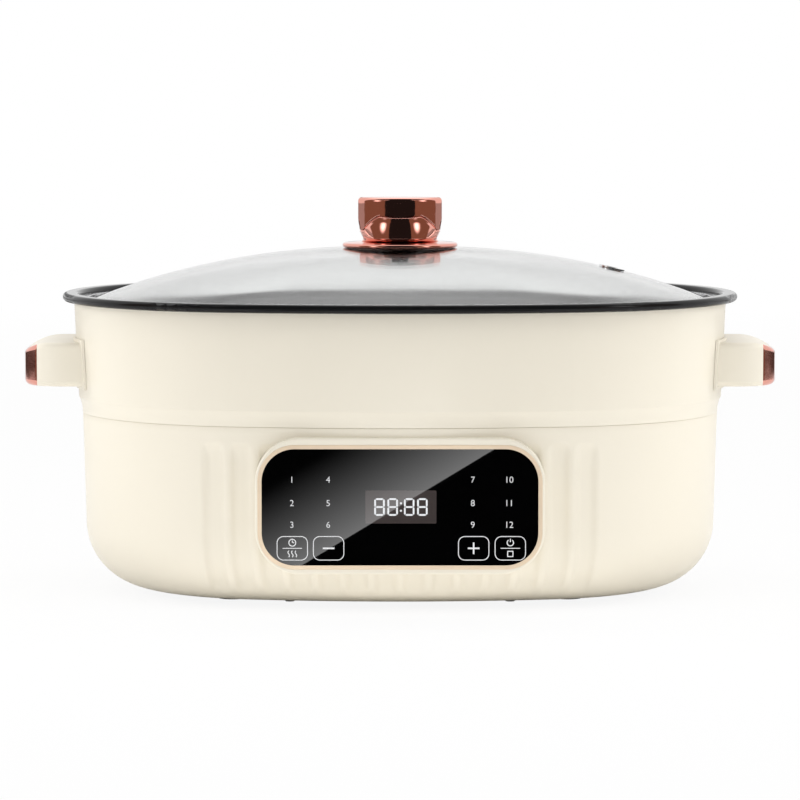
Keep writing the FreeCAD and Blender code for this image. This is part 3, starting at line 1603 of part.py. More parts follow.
doc.recompute()
faults = []
for thing in doc.Objects:
    if "Invalid" in thing.State or "Error" in thing.State:
        faults.append(f"{thing.Name}: {thing.State}")
for thing in PIECES:
    if thing.Shape.isNull() or not thing.Shape.isValid():
        faults.append(f"{thing.Label}: shape is not valid")
if faults:
    raise RuntimeError("; ".join(faults))

os.makedirs("parts", exist_ok=True)
for thing in PIECES:
    thing.Shape.exportStep(f"parts/{thing.Label}.step")
print(f"{len(PIECES)} pieces written")
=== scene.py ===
"""Electric hot pot: the looks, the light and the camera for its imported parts."""

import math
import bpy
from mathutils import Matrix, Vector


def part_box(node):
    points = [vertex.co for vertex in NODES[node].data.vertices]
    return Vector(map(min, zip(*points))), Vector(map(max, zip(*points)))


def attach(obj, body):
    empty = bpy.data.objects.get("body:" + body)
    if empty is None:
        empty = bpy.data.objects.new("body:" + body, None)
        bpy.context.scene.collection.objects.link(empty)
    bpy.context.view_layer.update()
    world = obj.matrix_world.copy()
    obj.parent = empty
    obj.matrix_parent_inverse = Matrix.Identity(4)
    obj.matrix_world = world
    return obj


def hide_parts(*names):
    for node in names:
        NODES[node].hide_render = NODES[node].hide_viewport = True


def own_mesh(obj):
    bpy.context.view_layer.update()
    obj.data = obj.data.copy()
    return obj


bl_info = {
    "name": "Electric hot pot",
    "version": (1, 0, 0),
    "blender": (4, 5, 0),
    "location": "3D View > Sidebar > Hot pot",
    "description": "Dresses an electric hot pot: fluted base, touch panel, knob, glass lid and finishes",
    "category": "Object",
}

import bmesh
import bpy
from mathutils import Matrix, Vector

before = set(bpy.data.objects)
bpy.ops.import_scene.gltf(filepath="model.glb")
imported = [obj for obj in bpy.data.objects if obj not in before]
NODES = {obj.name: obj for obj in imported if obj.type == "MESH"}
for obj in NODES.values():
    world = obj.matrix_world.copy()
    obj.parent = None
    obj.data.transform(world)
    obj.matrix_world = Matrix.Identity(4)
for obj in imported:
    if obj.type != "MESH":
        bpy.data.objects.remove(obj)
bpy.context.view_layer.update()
GLASS_LOW, GLASS_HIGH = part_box("panel_glass")
KNOB_LOW, KNOB_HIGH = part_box("knob")


# ---------------------------------------------------------------- sizes and colours

def length(name, description, default):
    return bpy.props.FloatProperty(name=name, description=description, default=default, unit="LENGTH")


def shade(name, description, default):
    return bpy.props.FloatVectorProperty(name=name, description=description, default=default, size=3,
                                         min=0.0, max=1.0, subtype="COLOR")


class HotpotBody(bpy.types.PropertyGroup):
    """Sizes of the oval body and of the flutes down its front"""
    half_length: length("Half length", "Half of the rim's length", 0.1877)
    half_depth: length("Half depth", "Half of the rim's depth", 0.1285)
    end_radius: length("End radius", "Radius of the rim's two ends", 0.121)
    inset: length("Base inset", "How far the base lies inside the rim", 0.0109)
    taper: length("Base taper", "How far the base wall leans in down to its corner", 0.0016)
    top: length("Base top", "Height of the base", 0.100)
    foot: length("Foot height", "Height of the feet", 0.003)
    corner: length("Corner radius", "Radius of the bottom corner", 0.036)
    wall: length("Wall", "Thickness of the base wall", 0.003)
    flute_pitch: length("Flute pitch", "Distance between two flutes", 0.0156)
    flute_width: length("Flute width", "Width of the hollow of a flute", 0.0109)
    flute_depth: length("Flute depth", "Depth of the hollow below its edges", 0.00170)
    ridge_depth: length("Ridge height", "How far the edge of the hollow lies below the ridge", 0.00057)
    flute_top: length("Flute top", "Height at which the flutes start", 0.0915)
    flute_rise: length("Flute rise", "Height over which a flute gets its full depth", 0.0135)


class HotpotPanel(bpy.types.PropertyGroup):
    """Sizes of the marks on the touch panel"""
    number_height: length("Number height", "Size of the plain numbers", 0.0048)
    digit_height: length("Digit height", "Height of a display digit", 0.0094)
    digit_width: length("Digit width", "Width of a display digit", 0.0056)
    segment_width: length("Segment width", "Width of one segment of a digit", 0.00095)
    key_width: length("Key width", "Width of an outlined key", 0.0162)
    key_height: length("Key height", "Height of an outlined key", 0.0126)
    key_corner: length("Key corner", "Corner radius of an outlined key", 0.0034)
    line_width: length("Line width", "Width of a key's outline", 0.00042)


class HotpotKnob(bpy.types.PropertyGroup):
    """Sizes of the knob on the lid"""
    foot_radius: length("Foot radius", "Radius of the bowl where it meets the plate", 0.0174)
    belly: length("Belly height", "Height of the bowl's widest place over the plate", 0.0024)
    bowl_radius: length("Bowl radius", "Largest radius of the bowl", 0.0208)
    waist_radius: length("Waist radius", "Half of the width just above the plate", 0.0205)
    top_radius: length("Top radius", "Half of the width at the top", 0.0233)
    web_half: length("Web half thickness", "Half of the thickness of the upright web", 0.0134)
    web_bend: length("Web bend", "Radius to which the web's two faces are bent", 0.0280)
    ledge: length("Ledge height", "Height of the bowl's edge at its two highest places", 0.2086)
    ledge_dip: length("Ledge dip", "How far the bowl's edge dips in the middle", 0.0006)
    ledge_half: length("Ledge half width", "Half of the width between the highest places", 0.0112)
    ledge_side: length("Side height", "Height of the bowl's edge at the sides", 0.2008)
    edge: length("Edge radius", "Radius of the rounded edges of the bowl", 0.0008)
    top_edge: length("Top edge radius", "Radius of the rounded edge round the top", 0.0021)
    lip: length("Plate lip", "Half of the height of the plate's rounded lip", 0.0013)


class HotpotLid(bpy.types.PropertyGroup):
    """Sizes of the domed glass"""
    edge_inset: length("Edge inset", "How far the edge of the glass lies inside the pot's rim", 0.0102)
    dome_inset: length("Dome inset", "How far the foot of the dome lies inside the pot's rim", 0.0177)
    flat: length("Flat middle", "Half of the width of the flat middle under the knob", 0.017)
    thickness: length("Thickness", "Thickness of the glass", 0.0032)
    bore: length("Knob bore", "Radius of the hole for the knob's screw", 0.0034)
    vent_across: length("Vent place", "How far the steam vent lies from the middle", 0.118)
    vent_hole: length("Vent hole", "Radius of the hole for the steam vent", 0.0054)


class HotpotColours(bpy.types.PropertyGroup):
    """Colours of the finishes a user would change"""
    cream: shade("Cream", "Colour of the base, the skirt and the handles", (0.850, 0.795, 0.675))
    rose_gold: shade("Rose gold", "Colour of the knob and of the handle ends", (0.82, 0.38, 0.31))
    trim: shade("Trim", "Colour of the thin ring round the glass", (0.84, 0.68, 0.50))
    coating: shade("Coating", "Colour of the non-stick coating", (0.0075, 0.0075, 0.0080))
    print: shade("Print", "Colour of the marks on the panel", (0.80, 0.81, 0.83))
    window: shade("Display window", "Colour of the display behind the digits", (0.052, 0.042, 0.041))


class HotpotSettings(bpy.types.PropertyGroup):
    """All settings of the hot pot"""
    body: bpy.props.PointerProperty(type=HotpotBody)
    panel: bpy.props.PointerProperty(type=HotpotPanel)
    knob: bpy.props.PointerProperty(type=HotpotKnob)
    lid: bpy.props.PointerProperty(type=HotpotLid)
    colours: bpy.props.PointerProperty(type=HotpotColours)


# ---------------------------------------------------------------- node trees

class Term:
    """A number in a node tree; what is worked out from it becomes Math nodes."""

    def __init__(self, nodes, socket):
        self.nodes, self.socket = nodes, socket

    def __add__(self, other):
        return self.nodes.math("ADD", self, other)

    def __sub__(self, other):
        return self.nodes.math("SUBTRACT", self, other)

    def __rsub__(self, other):
        return self.nodes.math("SUBTRACT", other, self)

    def __mul__(self, other):
        return self.nodes.math("MULTIPLY", self, other)

    def __truediv__(self, other):
        return self.nodes.math("DIVIDE", self, other)

    def __pow__(self, other):
        return self.nodes.math("POWER", self, other)

    def __abs__(self):
        return self.nodes.math("ABSOLUTE", self)


class Nodes:
    """Adds the nodes of one tree and joins them."""

    def __init__(self, tree):
        self.tree = tree

    def join(self, source, target):
        """Link a socket to another, or give it a plain value."""
        if isinstance(source, Term):
            source = source.socket
        if isinstance(source, bpy.types.NodeSocket):
            self.tree.links.new(source, target)
        else:
            target.default_value = source

    def add(self, kind, inputs=None, **settings):
        node = self.tree.nodes.new(kind)
        for key, value in settings.items():
            setattr(node, key, value)
        for key, source in (inputs or {}).items():
            self.join(source, node.inputs[key])
        return node

    def math(self, operation, *terms, clamp=False):
        node = self.add("ShaderNodeMath", dict(enumerate(terms)), operation=operation, use_clamp=clamp)
        return Term(self, node.outputs[0])

    def spread(self, value, start, end, low, high, **settings):
        """Carry a number from the range start to end over to the range low to high."""
        return self.add("ShaderNodeMapRange", {"Value": value, "From Min": start, "From Max": end,
                                               "To Min": low, "To Max": high}, **settings).outputs["Result"]

    def mixed(self, share, one, other):
        return self.add("ShaderNodeMixShader", {0: share, 1: one, 2: other}).outputs[0]


class Finish(Nodes):
    """A material while it is being built."""

    def __init__(self, name):
        self.material = bpy.data.materials.new(name)
        self.material.use_nodes = True
        super().__init__(self.material.node_tree)
        self.tree.nodes.clear()
        self.surface = self.add("ShaderNodeOutputMaterial").inputs["Surface"]
        self.place = self.add("ShaderNodeTexCoord").outputs["Object"]

    def grain(self, scale, detail=3.0, stretch=None):
        """Noise over the surface; a stretch draws it out into lines."""
        place = self.place
        if stretch is not None:
            place = self.add("ShaderNodeMapping", {"Vector": place, "Scale": stretch}).outputs["Vector"]
        return self.add("ShaderNodeTexNoise", {"Vector": place, "Scale": scale,
                                               "Detail": detail}).outputs["Fac"]

    def between(self, factor, low, high):
        """A number that runs from low to high with the noise."""
        return self.spread(factor, 0.3, 0.7, low, high)

    def shades(self, factor, dark, light):
        ramp = self.add("ShaderNodeValToRGB", {"Fac": factor})
        for stop, position, colour in zip(ramp.color_ramp.elements, (0.3, 0.7), (dark, light)):
            stop.position, stop.color = position, colour
        return ramp.outputs["Color"]

    def relief(self, factor, height):
        return self.add("ShaderNodeBump", {"Strength": 1.0, "Distance": height,
                                           "Height": factor}).outputs["Normal"]

    def away(self):
        """How far a point lies from the object's origin."""
        return self.add("ShaderNodeVectorMath", {0: self.place}, operation="LENGTH").outputs["Value"]

    def glow(self, colour, strength):
        return self.add("ShaderNodeEmission", {"Color": colour + (1,), "Strength": strength}).outputs[0]

    def principled(self, inputs):
        return self.add("ShaderNodeBsdfPrincipled", inputs).outputs["BSDF"]

    def close(self, shader):
        self.join(shader, self.surface)
        return self.material


class Tree(Nodes):
    """A Geometry Nodes tree while it is being built: its inputs are numbers and a material."""

    def __init__(self, name, numbers):
        super().__init__(bpy.data.node_groups.new(name, "GeometryNodeTree"))
        sockets = self.tree.interface
        sockets.new_socket("Geometry", in_out="INPUT", socket_type="NodeSocketGeometry")
        self.names = {}
        for label, default in numbers.items():
            socket = sockets.new_socket(label, in_out="INPUT", socket_type="NodeSocketFloat")
            socket.default_value = default
            self.names[label] = socket.identifier
        coating = sockets.new_socket("Material", in_out="INPUT", socket_type="NodeSocketMaterial")
        self.names["Material"] = coating.identifier
        sockets.new_socket("Geometry", in_out="OUTPUT", socket_type="NodeSocketGeometry")
        self.start = self.add("NodeGroupInput").outputs
        self.end = self.add("NodeGroupOutput")
        self.terms = [Term(self, self.start[label]) for label in numbers]

    def vector(self, x=0.0, y=0.0, z=0.0):
        return self.add("ShaderNodeCombineXYZ", {0: x, 1: y, 2: z}).outputs[0]

    def place(self):
        """The three coordinates of each point."""
        here = self.add("GeometryNodeInputPosition").outputs[0]
        return [Term(self, part) for part in self.add("ShaderNodeSeparateXYZ", {0: here}).outputs]

    def attribute(self, name, kind="FLOAT"):
        return self.add("GeometryNodeInputNamedAttribute", {"Name": name},
                        data_type=kind).outputs["Attribute"]

    def moved(self, geometry, **inputs):
        return self.add("GeometryNodeTransform", {"Geometry": geometry, **inputs}).outputs[0]

    def placed(self, instance, **inputs):
        """The same shape on each point of the mesh."""
        return self.add("GeometryNodeInstanceOnPoints", {"Points": self.start["Geometry"],
                                                         "Instance": instance, **inputs}).outputs[0]

    def close(self, geometry):
        real = self.add("GeometryNodeRealizeInstances", {"Geometry": geometry})
        coated = self.add("GeometryNodeSetMaterial", {"Geometry": real.outputs[0],
                                                      "Material": self.start["Material"]})
        self.join(coated.outputs[0], self.end.inputs[0])
        return self

    def run(self, thing, values):
        modifier = thing.modifiers.new(self.tree.name, "NODES")
        modifier.node_group = self.tree
        for label, value in values.items():
            modifier[self.names[label]] = value
        return settled(thing)


# ---------------------------------------------------------------- finishes

def tinted(colour, share):
    return tuple(min(1.0, channel * share) for channel in colour) + (1.0,)


def surface(name, colour, mottle, mottle_scale, rough, rough_scale, bump=None, metallic=0.0,
            specular=0.5, coat=0.0, stretch=None):
    """A finish with mottled colour, uneven gloss and a fine relief given as (scale, height)."""
    made = Finish(name)
    clouds = made.grain(mottle_scale, 4.0, stretch)
    inputs = {
        "Base Color": made.shades(clouds, tinted(colour, 1 - mottle), tinted(colour, 1 + mottle)),
        "Roughness": made.between(made.grain(rough_scale, 3.0, stretch), *rough),
        "Metallic": metallic, "Specular IOR Level": specular, "Coat Weight": coat,
        "Coat Roughness": 0.08}
    if bump is not None:
        inputs["Normal"] = made.relief(made.grain(bump[0], 2.0, stretch), bump[1])
    made.close(made.principled(inputs))


def clear_glass(name):
    made = Finish(name)
    made.close(made.principled({
        "Base Color": made.shades(made.grain(6.0), (0.975, 0.985, 0.98, 1), (0.985, 0.995, 0.99, 1)),
        "Roughness": made.between(made.grain(25.0), 0.03, 0.05), "Transmission Weight": 1.0,
        "IOR": 1.5}))


def turned_metal(name, colour, rough):
    """Metal with the fine rings that a lathe leaves round the middle."""
    made = Finish(name)
    wave = made.add("ShaderNodeTexWave", {"Vector": made.place, "Scale": 220.0, "Distortion": 0.4},
                    wave_type="RINGS", rings_direction="Z")
    made.close(made.principled({
        "Base Color": made.shades(made.grain(30.0), tinted(colour, 0.93), tinted(colour, 1.05)),
        "Roughness": made.between(made.grain(120.0), *rough), "Metallic": 1.0,
        "Normal": made.relief(wave.outputs["Fac"], 6e-6)}))


def make_finishes(colours):
    """Each finish: colour, strength and scale of its clouds, gloss and its scale, relief."""
    cream = tuple(colours.cream)
    surface("cream_moulding", cream, 0.006, 9.0, (0.33, 0.40), 40.0, (420.0, 12e-6), coat=0.05)
    surface("cream_enamel", cream, 0.005, 7.0, (0.30, 0.36), 30.0, (260.0, 10e-6), coat=0.10)
    surface("cream_handle", tinted(cream, 1.01)[:3], 0.006, 14.0, (0.34, 0.42), 60.0, (600.0, 10e-6),
            coat=0.04)
    surface("copper_gold", tuple(colours.rose_gold), 0.03, 40.0, (0.05, 0.09), 90.0, (900.0, 1.2e-6),
            metallic=1.0)
    surface("champagne_trim", tuple(colours.trim), 0.02, 60.0, (0.30, 0.36), 200.0, metallic=0.15)
    surface("panel_black_glass", (0.0008, 0.0008, 0.0009), 0.2, 30.0, (0.012, 0.020), 20.0)
    clear_glass("lid_clear_glass")
    surface("polished_steel", (0.70, 0.70, 0.71), 0.03, 60.0, (0.10, 0.18), 300.0, (1200.0, 1.5e-6),
            metallic=1.0)
    surface("nonstick_coating", tuple(colours.coating), 0.12, 200.0, (0.08, 0.12), 150.0,
            (700.0, 0.8e-6), specular=0.22)
    surface("tray_sheet", (0.62, 0.62, 0.63), 0.05, 40.0, (0.30, 0.42), 200.0, (900.0, 4e-6),
            metallic=1.0, stretch=(0.15, 4.0, 4.0))
    turned_metal("cast_aluminium", (0.66, 0.66, 0.67), (0.28, 0.42))
    surface("element_tube", (0.26, 0.24, 0.22), 0.18, 70.0, (0.38, 0.55), 120.0, (700.0, 8e-6),
            metallic=0.9)
    surface("plated_screw", (0.55, 0.55, 0.56), 0.06, 300.0, (0.22, 0.34), 400.0, (1500.0, 3e-6),
            metallic=1.0)
    surface("fuse_ceramic", (0.78, 0.76, 0.70), 0.04, 200.0, (0.40, 0.52), 300.0, (1500.0, 6e-6))
    surface("green_board", (0.020, 0.115, 0.050), 0.12, 120.0, (0.32, 0.45), 160.0, (1300.0, 6e-6))
    surface("component_black", (0.022, 0.022, 0.024), 0.2, 200.0, (0.42, 0.55), 220.0, (1800.0, 8e-6))
    surface("inlet_plastic", (0.020, 0.020, 0.021), 0.15, 90.0, (0.40, 0.52), 120.0, (1400.0, 10e-6))
    surface("cover_plastic", (0.030, 0.030, 0.031), 0.12, 60.0, (0.46, 0.58), 90.0, (1200.0, 14e-6))
    surface("soft_rubber", (0.028, 0.028, 0.029), 0.14, 200.0, (0.66, 0.80), 240.0, (1600.0, 16e-6),
            specular=0.3)
    surface("clear_washer", (0.80, 0.80, 0.78), 0.03, 150.0, (0.50, 0.62), 200.0, (1500.0, 10e-6))
    surface("brass_pin", (0.72, 0.55, 0.28), 0.05, 200.0, (0.18, 0.30), 300.0, (1500.0, 2e-6),
            metallic=1.0)
    surface("panel_print", tuple(colours.print), 0.02, 300.0, (0.40, 0.50), 300.0)
    surface("display_window", tuple(colours.window), 0.04, 200.0, (0.012, 0.020), 200.0)
    surface("lit_digit", (0.85, 0.87, 0.90), 0.02, 300.0, (0.40, 0.50), 300.0)


NODE_FINISHES = {
    "cream_moulding": ("base_housing", "panel_bezel"),
    "cream_enamel": ("pot_skirt",),
    "cream_handle": ("right_handle", "left_handle", "right_flange", "left_flange"),
    "copper_gold": ("right_trim", "left_trim", "knob_plate", "knob"),
    "champagne_trim": ("panel_trim",),
    "panel_black_glass": ("panel_glass",),
    "polished_steel": ("lid_band", "steam_vent"),
    "nonstick_coating": ("inner_pot",),
    "tray_sheet": ("heat_tray", "sensor_guide", "plate_posts", "fuse_clip", "right_bracket",
                   "left_bracket"),
    "cast_aluminium": ("heating_plate", "sensor_cap"),
    "element_tube": ("heating_element",),
    "plated_screw": ("bottom_screws", "plate_screws", "board_screws", "panel_screws", "inlet_screws",
                     "right_handle_screws", "left_handle_screws", "knob_screw", "sensor_spring",
                     "touch_springs"),
    "fuse_ceramic": ("thermal_fuse",),
    "green_board": ("power_board", "control_board"),
    "component_black": ("board_components", "display_module"),
    "inlet_plastic": ("power_inlet",),
    "cover_plastic": ("bottom_cover",),
    "soft_rubber": ("rubber_feet",),
    "clear_washer": ("knob_washer",),
    "brass_pin": ("inlet_pins",),
}


def finish(name):
    return bpy.data.materials[name]


def dress(node, material):
    """Give a CAD node its finish."""
    thing = NODES[node]
    if not thing.material_slots:
        thing.data.materials.append(None)
    for holder in thing.material_slots:
        holder.material = material


# ---------------------------------------------------------------- ways of making a piece

def add_object(name, data):
    thing = bpy.data.objects.new(name, data)
    bpy.context.scene.collection.objects.link(thing)
    return thing


def soften(mesh, smooth_angle):
    """Smooth faces, but for the edges sharper than the angle."""
    for face in mesh.polygons:
        face.use_smooth = True
    mesh.set_sharp_from_angle(angle=math.radians(smooth_angle))


def mesh_from(name, places, faces, material, smooth_angle=40):
    """A closed mesh from points and faces."""
    mesh = bpy.data.meshes.new(name)
    mesh.from_pydata(places, [], faces)
    form = bmesh.new()
    form.from_mesh(mesh)
    bmesh.ops.remove_doubles(form, verts=form.verts, dist=1e-7)
    bmesh.ops.dissolve_degenerate(form, edges=form.edges, dist=1e-8)
    bmesh.ops.recalc_face_normals(form, faces=form.faces)
    form.to_mesh(mesh)
    form.free()
    mesh.materials.append(material)
    soften(mesh, smooth_angle)
    return add_object(name, mesh)


def gathered(name, parts, material, smooth_angle=40):
    """One mesh out of several lots of points and faces."""
    places, faces = [], []
    for points, polygons in parts:
        start = len(places)
        places += [tuple(point) for point in points]
        faces += [tuple(index + start for index in polygon) for polygon in polygons]
    return mesh_from(name, places, faces, material, smooth_angle)


def dotted(name, points):
    """A mesh of single points, for a node tree to put shapes on."""
    mesh = bpy.data.meshes.new(name)
    mesh.from_pydata(points, [], [])
    return add_object(name, mesh)


def evaluated(thing):
    """A new mesh of a thing as it looks with its modifiers."""
    bpy.context.view_layer.update()
    graph = bpy.context.evaluated_depsgraph_get()
    return bpy.data.meshes.new_from_object(thing.evaluated_get(graph), preserve_all_data_layers=True,
                                           depsgraph=graph)


def settled(thing):
    """Turn an object with live modifiers into a plain mesh."""
    mesh = evaluated(thing)
    thing.modifiers.clear()
    old, thing.data = thing.data, mesh
    mesh.name = thing.name
    if old.users == 0:
        bpy.data.meshes.remove(old)
    return thing


def carve(thing, tool):
    """Cut the tool's shape out of a thing."""
    cut = thing.modifiers.new("cut", "BOOLEAN")
    cut.operation = "DIFFERENCE"
    cut.solver = "EXACT"
    cut.object = tool
    settled(thing)
    bpy.data.objects.remove(tool)


def skin(count, rows, open_rows=False, open_end=False):
    """Faces between neighbouring columns of points, each with as many rows."""
    faces = []
    for index in range(count - open_end):
        here, there = rows * index, rows * ((index + 1) % count)
        for row in range(rows - open_rows):
            following = (row + 1) % rows
            faces.append((here + row, there + row, there + following, here + following))
    return faces


def turned(section, count, centre=(0.0, 0.0)):
    """Points and faces of a section (radius, height) turned about an upright axis."""
    places = []
    for index in range(count):
        angle = 2 * math.pi * index / count
        places += [(centre[0] + radius * math.cos(angle), centre[1] + radius * math.sin(angle), height)
                   for radius, height in section]
    return places, skin(count, len(section))


def prism(near, far):
    """Points and faces of a solid between two outlines of as many points."""
    count = len(near)
    faces = [tuple(range(count)), tuple(range(2 * count - 1, count - 1, -1))]
    faces += [(index, (index + 1) % count, count + (index + 1) % count, count + index)
              for index in range(count)]
    return near + far, faces


def rounded_block(half_across, half_up, corner, middle, start, end):
    """A block with rounded corners whose face is parallel to the panel, between two depths."""
    outline = []
    for index, (sign_x, sign_z) in enumerate(((1, -1), (1, 1), (-1, 1), (-1, -1))):
        for step in range(9):
            angle = math.radians(90 * (index - 1) + 90 * step / 8)
            outline.append((middle[0] + sign_x * (half_across - corner) + corner * math.cos(angle),
                            middle[1] + sign_z * (half_up - corner) + corner * math.sin(angle)))
    return prism([(x, start, z) for x, z in outline], [(x, end, z) for x, z in outline])


def ring_points(centre, radius, first=0.0, last=360.0, count=28):
    closed = last - first >= 360.0
    angles = [math.radians(first + (last - first) * step / count)
              for step in range(count if closed else count + 1)]
    return [(centre[0] + radius * math.cos(angle), centre[1] + radius * math.sin(angle))
            for angle in angles]


def islands(node):
    """The lowest and highest corner of each separate solid of a CAD node."""
    form = bmesh.new()
    form.from_mesh(NODES[node].data)
    bmesh.ops.remove_doubles(form, verts=form.verts, dist=1e-5)
    left = set(form.verts)
    found = []
    while left:
        queue = [left.pop()]
        group = list(queue)
        while queue:
            linked = {vertex for edge in queue.pop().link_edges for vertex in edge.verts} & left
            left -= linked
            queue += linked
            group += linked
        found.append(tuple(Vector([pick(vertex.co[axis] for vertex in group) for axis in range(3)])
                           for pick in (min, max)))
    form.free()
    return sorted(found, key=lambda box: tuple(box[0]))


# ---------------------------------------------------------------- fluted base housing

LIP_RISE = 0.00031        # how far the top edge stands up towards the skirt
ROUND_EDGE = 0.0005
BEND_START, BEND_END = 0.094, 0.076    # heights between which the flutes get their round tops
COVER_HALF, COVER_TOP = 0.052, 0.0054  # inset of the bottom cover's opening and top of its rebate
FLOOR_LIP, FLOOR_TOP = 0.060, 0.0078   # inset of the floor's edge and height of the floor inside
TRAY_LEDGE = 0.0958       # height of the ledge that holds the heat tray
TRAY_INSET, TRAY_TOP, TRAY_LIP = 0.0205, 0.0984, 0.0143
BOSS_RADIUS, BOSS_BORE, BOSS_TOP = 0.0035, 0.0014, 0.0158
GLASS_CORNER, GLASS_GAP = 0.0175, 0.0003
OPENING_DEPTHS = 0.095, 0.135          # depths between which the panel's and the inlet's openings run
SOCKET_HALF, SOCKET_CORNER, SOCKET_LEVEL = (0.0168, 0.0133), 0.005, 0.058    # the inlet's opening
FLUTE_STATIONS = 22       # columns of points across one flute
PLAIN_STEP = 0.004        # distance between the columns where there is no flute
FINE_REACH = 0.022        # how far the fine columns reach round the ends
WALL_NEAR, EDGE_NEAR, BEND_NEAR = 0.0005, 0.002, 0.001    # margins by which a point is on the skin


def plan(body):
    """The oval plan: half the distance between the ends' centres, the front's radius and centre."""
    end_centre = body.half_length - body.end_radius
    front_radius = (end_centre ** 2 + body.half_depth ** 2 - body.end_radius ** 2) / (
        2 * (body.half_depth - body.end_radius))
    return end_centre, front_radius, front_radius - body.half_depth


def oval_stations(body, dense, sparse, dense_reach):
    """Round the plan: the centre, direction and radius of each station, starting at the front."""
    end_centre, front_radius, front_centre = plan(body)
    joint = math.atan2(front_centre, end_centre)
    quarter, half = math.pi / 2, math.pi
    extra = dense_reach / body.end_radius
    stations = []
    for centre, radius, first, last, step in (
            ((0, front_centre), front_radius, -quarter, -joint, dense),
            ((end_centre, 0), body.end_radius, -joint, -joint + extra, dense),
            ((end_centre, 0), body.end_radius, -joint + extra, joint, sparse),
            ((0, -front_centre), front_radius, joint, half - joint, sparse),
            ((-end_centre, 0), body.end_radius, half - joint, half + joint - extra, sparse),
            ((-end_centre, 0), body.end_radius, half + joint - extra, half + joint, dense),
            ((0, front_centre), front_radius, half + joint, half + quarter, dense)):
        count = max(2, round(abs(last - first) * radius / step))
        for index in range(count):
            angle = first + (last - first) * index / count
            stations.append((Vector(centre), Vector((math.cos(angle), math.sin(angle))), radius))
    return stations


def spaced(start, end, step):
    """Points (inset, height) on a straight run, without its end."""
    count = max(1, round(math.dist(start, end) / step))
    return [tuple(a + (b - a) * index / count for a, b in zip(start, end)) for index in range(count)]


def wall_bend(body):
    """The bottom corner: the height of its top, the wall's slope and lean, and the bend's centre."""
    corner_top = body.foot + body.corner
    slope = body.taper / (body.top - corner_top)
    lean = math.hypot(1, slope)
    return corner_top, slope, lean, body.inset + body.taper + body.corner * lean


def housing_section(body):
    """The base wall as (inset, height), from its top edge down the outside and up the inside."""
    corner_top, slope, lean, centre = wall_bend(body)
    start = math.atan(slope)

    def arc(radius, angle):
        return centre - radius * math.cos(angle), corner_top - radius * math.sin(angle)

    def turn(radius, first, last, count):
        return [arc(radius, first + (last - first) * index / count) for index in range(count)]

    def skin_at(height):
        return body.inset + slope * (body.top - height), height

    high = body.top + LIP_RISE
    section = [(body.inset + 0.0020, body.top), (body.inset + 0.0016, high),
               (body.inset + ROUND_EDGE, high), (body.inset + ROUND_EDGE * 0.3, high - ROUND_EDGE * 0.3)]
    section += spaced((body.inset, body.top - ROUND_EDGE), (body.inset, BEND_START), 0.003)
    section += spaced(skin_at(BEND_START), skin_at(BEND_END), 0.0009)
    section += spaced(skin_at(BEND_END), arc(body.corner, start), 0.003)
    section += turn(body.corner, start, math.pi / 2, 30)
    section += [(centre, body.foot), (COVER_HALF, body.foot), (COVER_HALF, COVER_TOP),
                (FLOOR_LIP, COVER_TOP), (FLOOR_LIP, FLOOR_TOP)]
    inner = body.corner - body.wall
    section += turn(inner, math.asin((corner_top - FLOOR_TOP) / inner), start, 14)
    ledge = (skin_at(TRAY_LEDGE)[0] + body.wall * lean, TRAY_LEDGE)
    section += spaced(arc(inner, start), ledge, 0.012)
    return section + [ledge, (TRAY_INSET, TRAY_LEDGE), (TRAY_INSET, TRAY_TOP), (TRAY_LIP, TRAY_TOP),
                      (TRAY_LIP, body.top)]


def flute_tree():
    """Presses flutes into the front: hollows with a soft ridge between two of them."""
    tree = Tree("front_flutes", {
        "Pitch": 0.0156, "Width": 0.0109, "Depth": 0.0013, "Ridge": 0.0006, "Top": 0.0915,
        "Rise": 0.0135, "Corner": 0.003, "Low": 0.008, "High": 0.015, "Radius": 0.41, "Centre": 0.29,
        "Per side": 7.0})
    pitch, width, deep, ridge, top, rise, corner, low, high, radius, centre, per_side = tree.terms
    across, along, up = tree.place()
    steps = tree.math("ARCTAN2", across, centre - along) * radius / pitch
    off = abs(steps - tree.math("FLOOR", steps) - 0.5) * pitch
    half, half_pitch = width * 0.5, pitch * 0.5
    hollow = ridge + deep * (1.0 - (off / half) ** 3.4)
    to_ridge = (half_pitch - off) / (half_pitch - half)
    in_hollow = tree.math("LESS_THAN", off, half)
    depth = in_hollow * hollow + (1.0 - in_hollow) * (ridge * (to_ridge * to_ridge))
    edge = top - corner * tree.math("MINIMUM", off / half_pitch, 1.0) ** 5.0
    above = 1.0 - tree.math("DIVIDE", edge - up, rise, clamp=True)
    top_fade = 1.0 - above * above * above
    share = tree.math("DIVIDE", up - low, high - low, clamp=True)
    low_fade = share * share * 3.0 - share * (share * share) * 2.0
    held = tree.math("LESS_THAN", abs(steps), per_side)
    amount = depth * (top_fade * low_fade) * (held * Term(tree, tree.attribute("outer")))
    inward = tree.add("ShaderNodeVectorMath", {0: tree.add("GeometryNodeInputNormal").outputs[0],
                                               "Scale": amount * -1.0}, operation="SCALE")
    moved = tree.add("GeometryNodeSetPosition", {"Geometry": tree.start["Geometry"],
                                                 "Offset": inward.outputs[0]})
    return tree.close(moved.outputs[0])


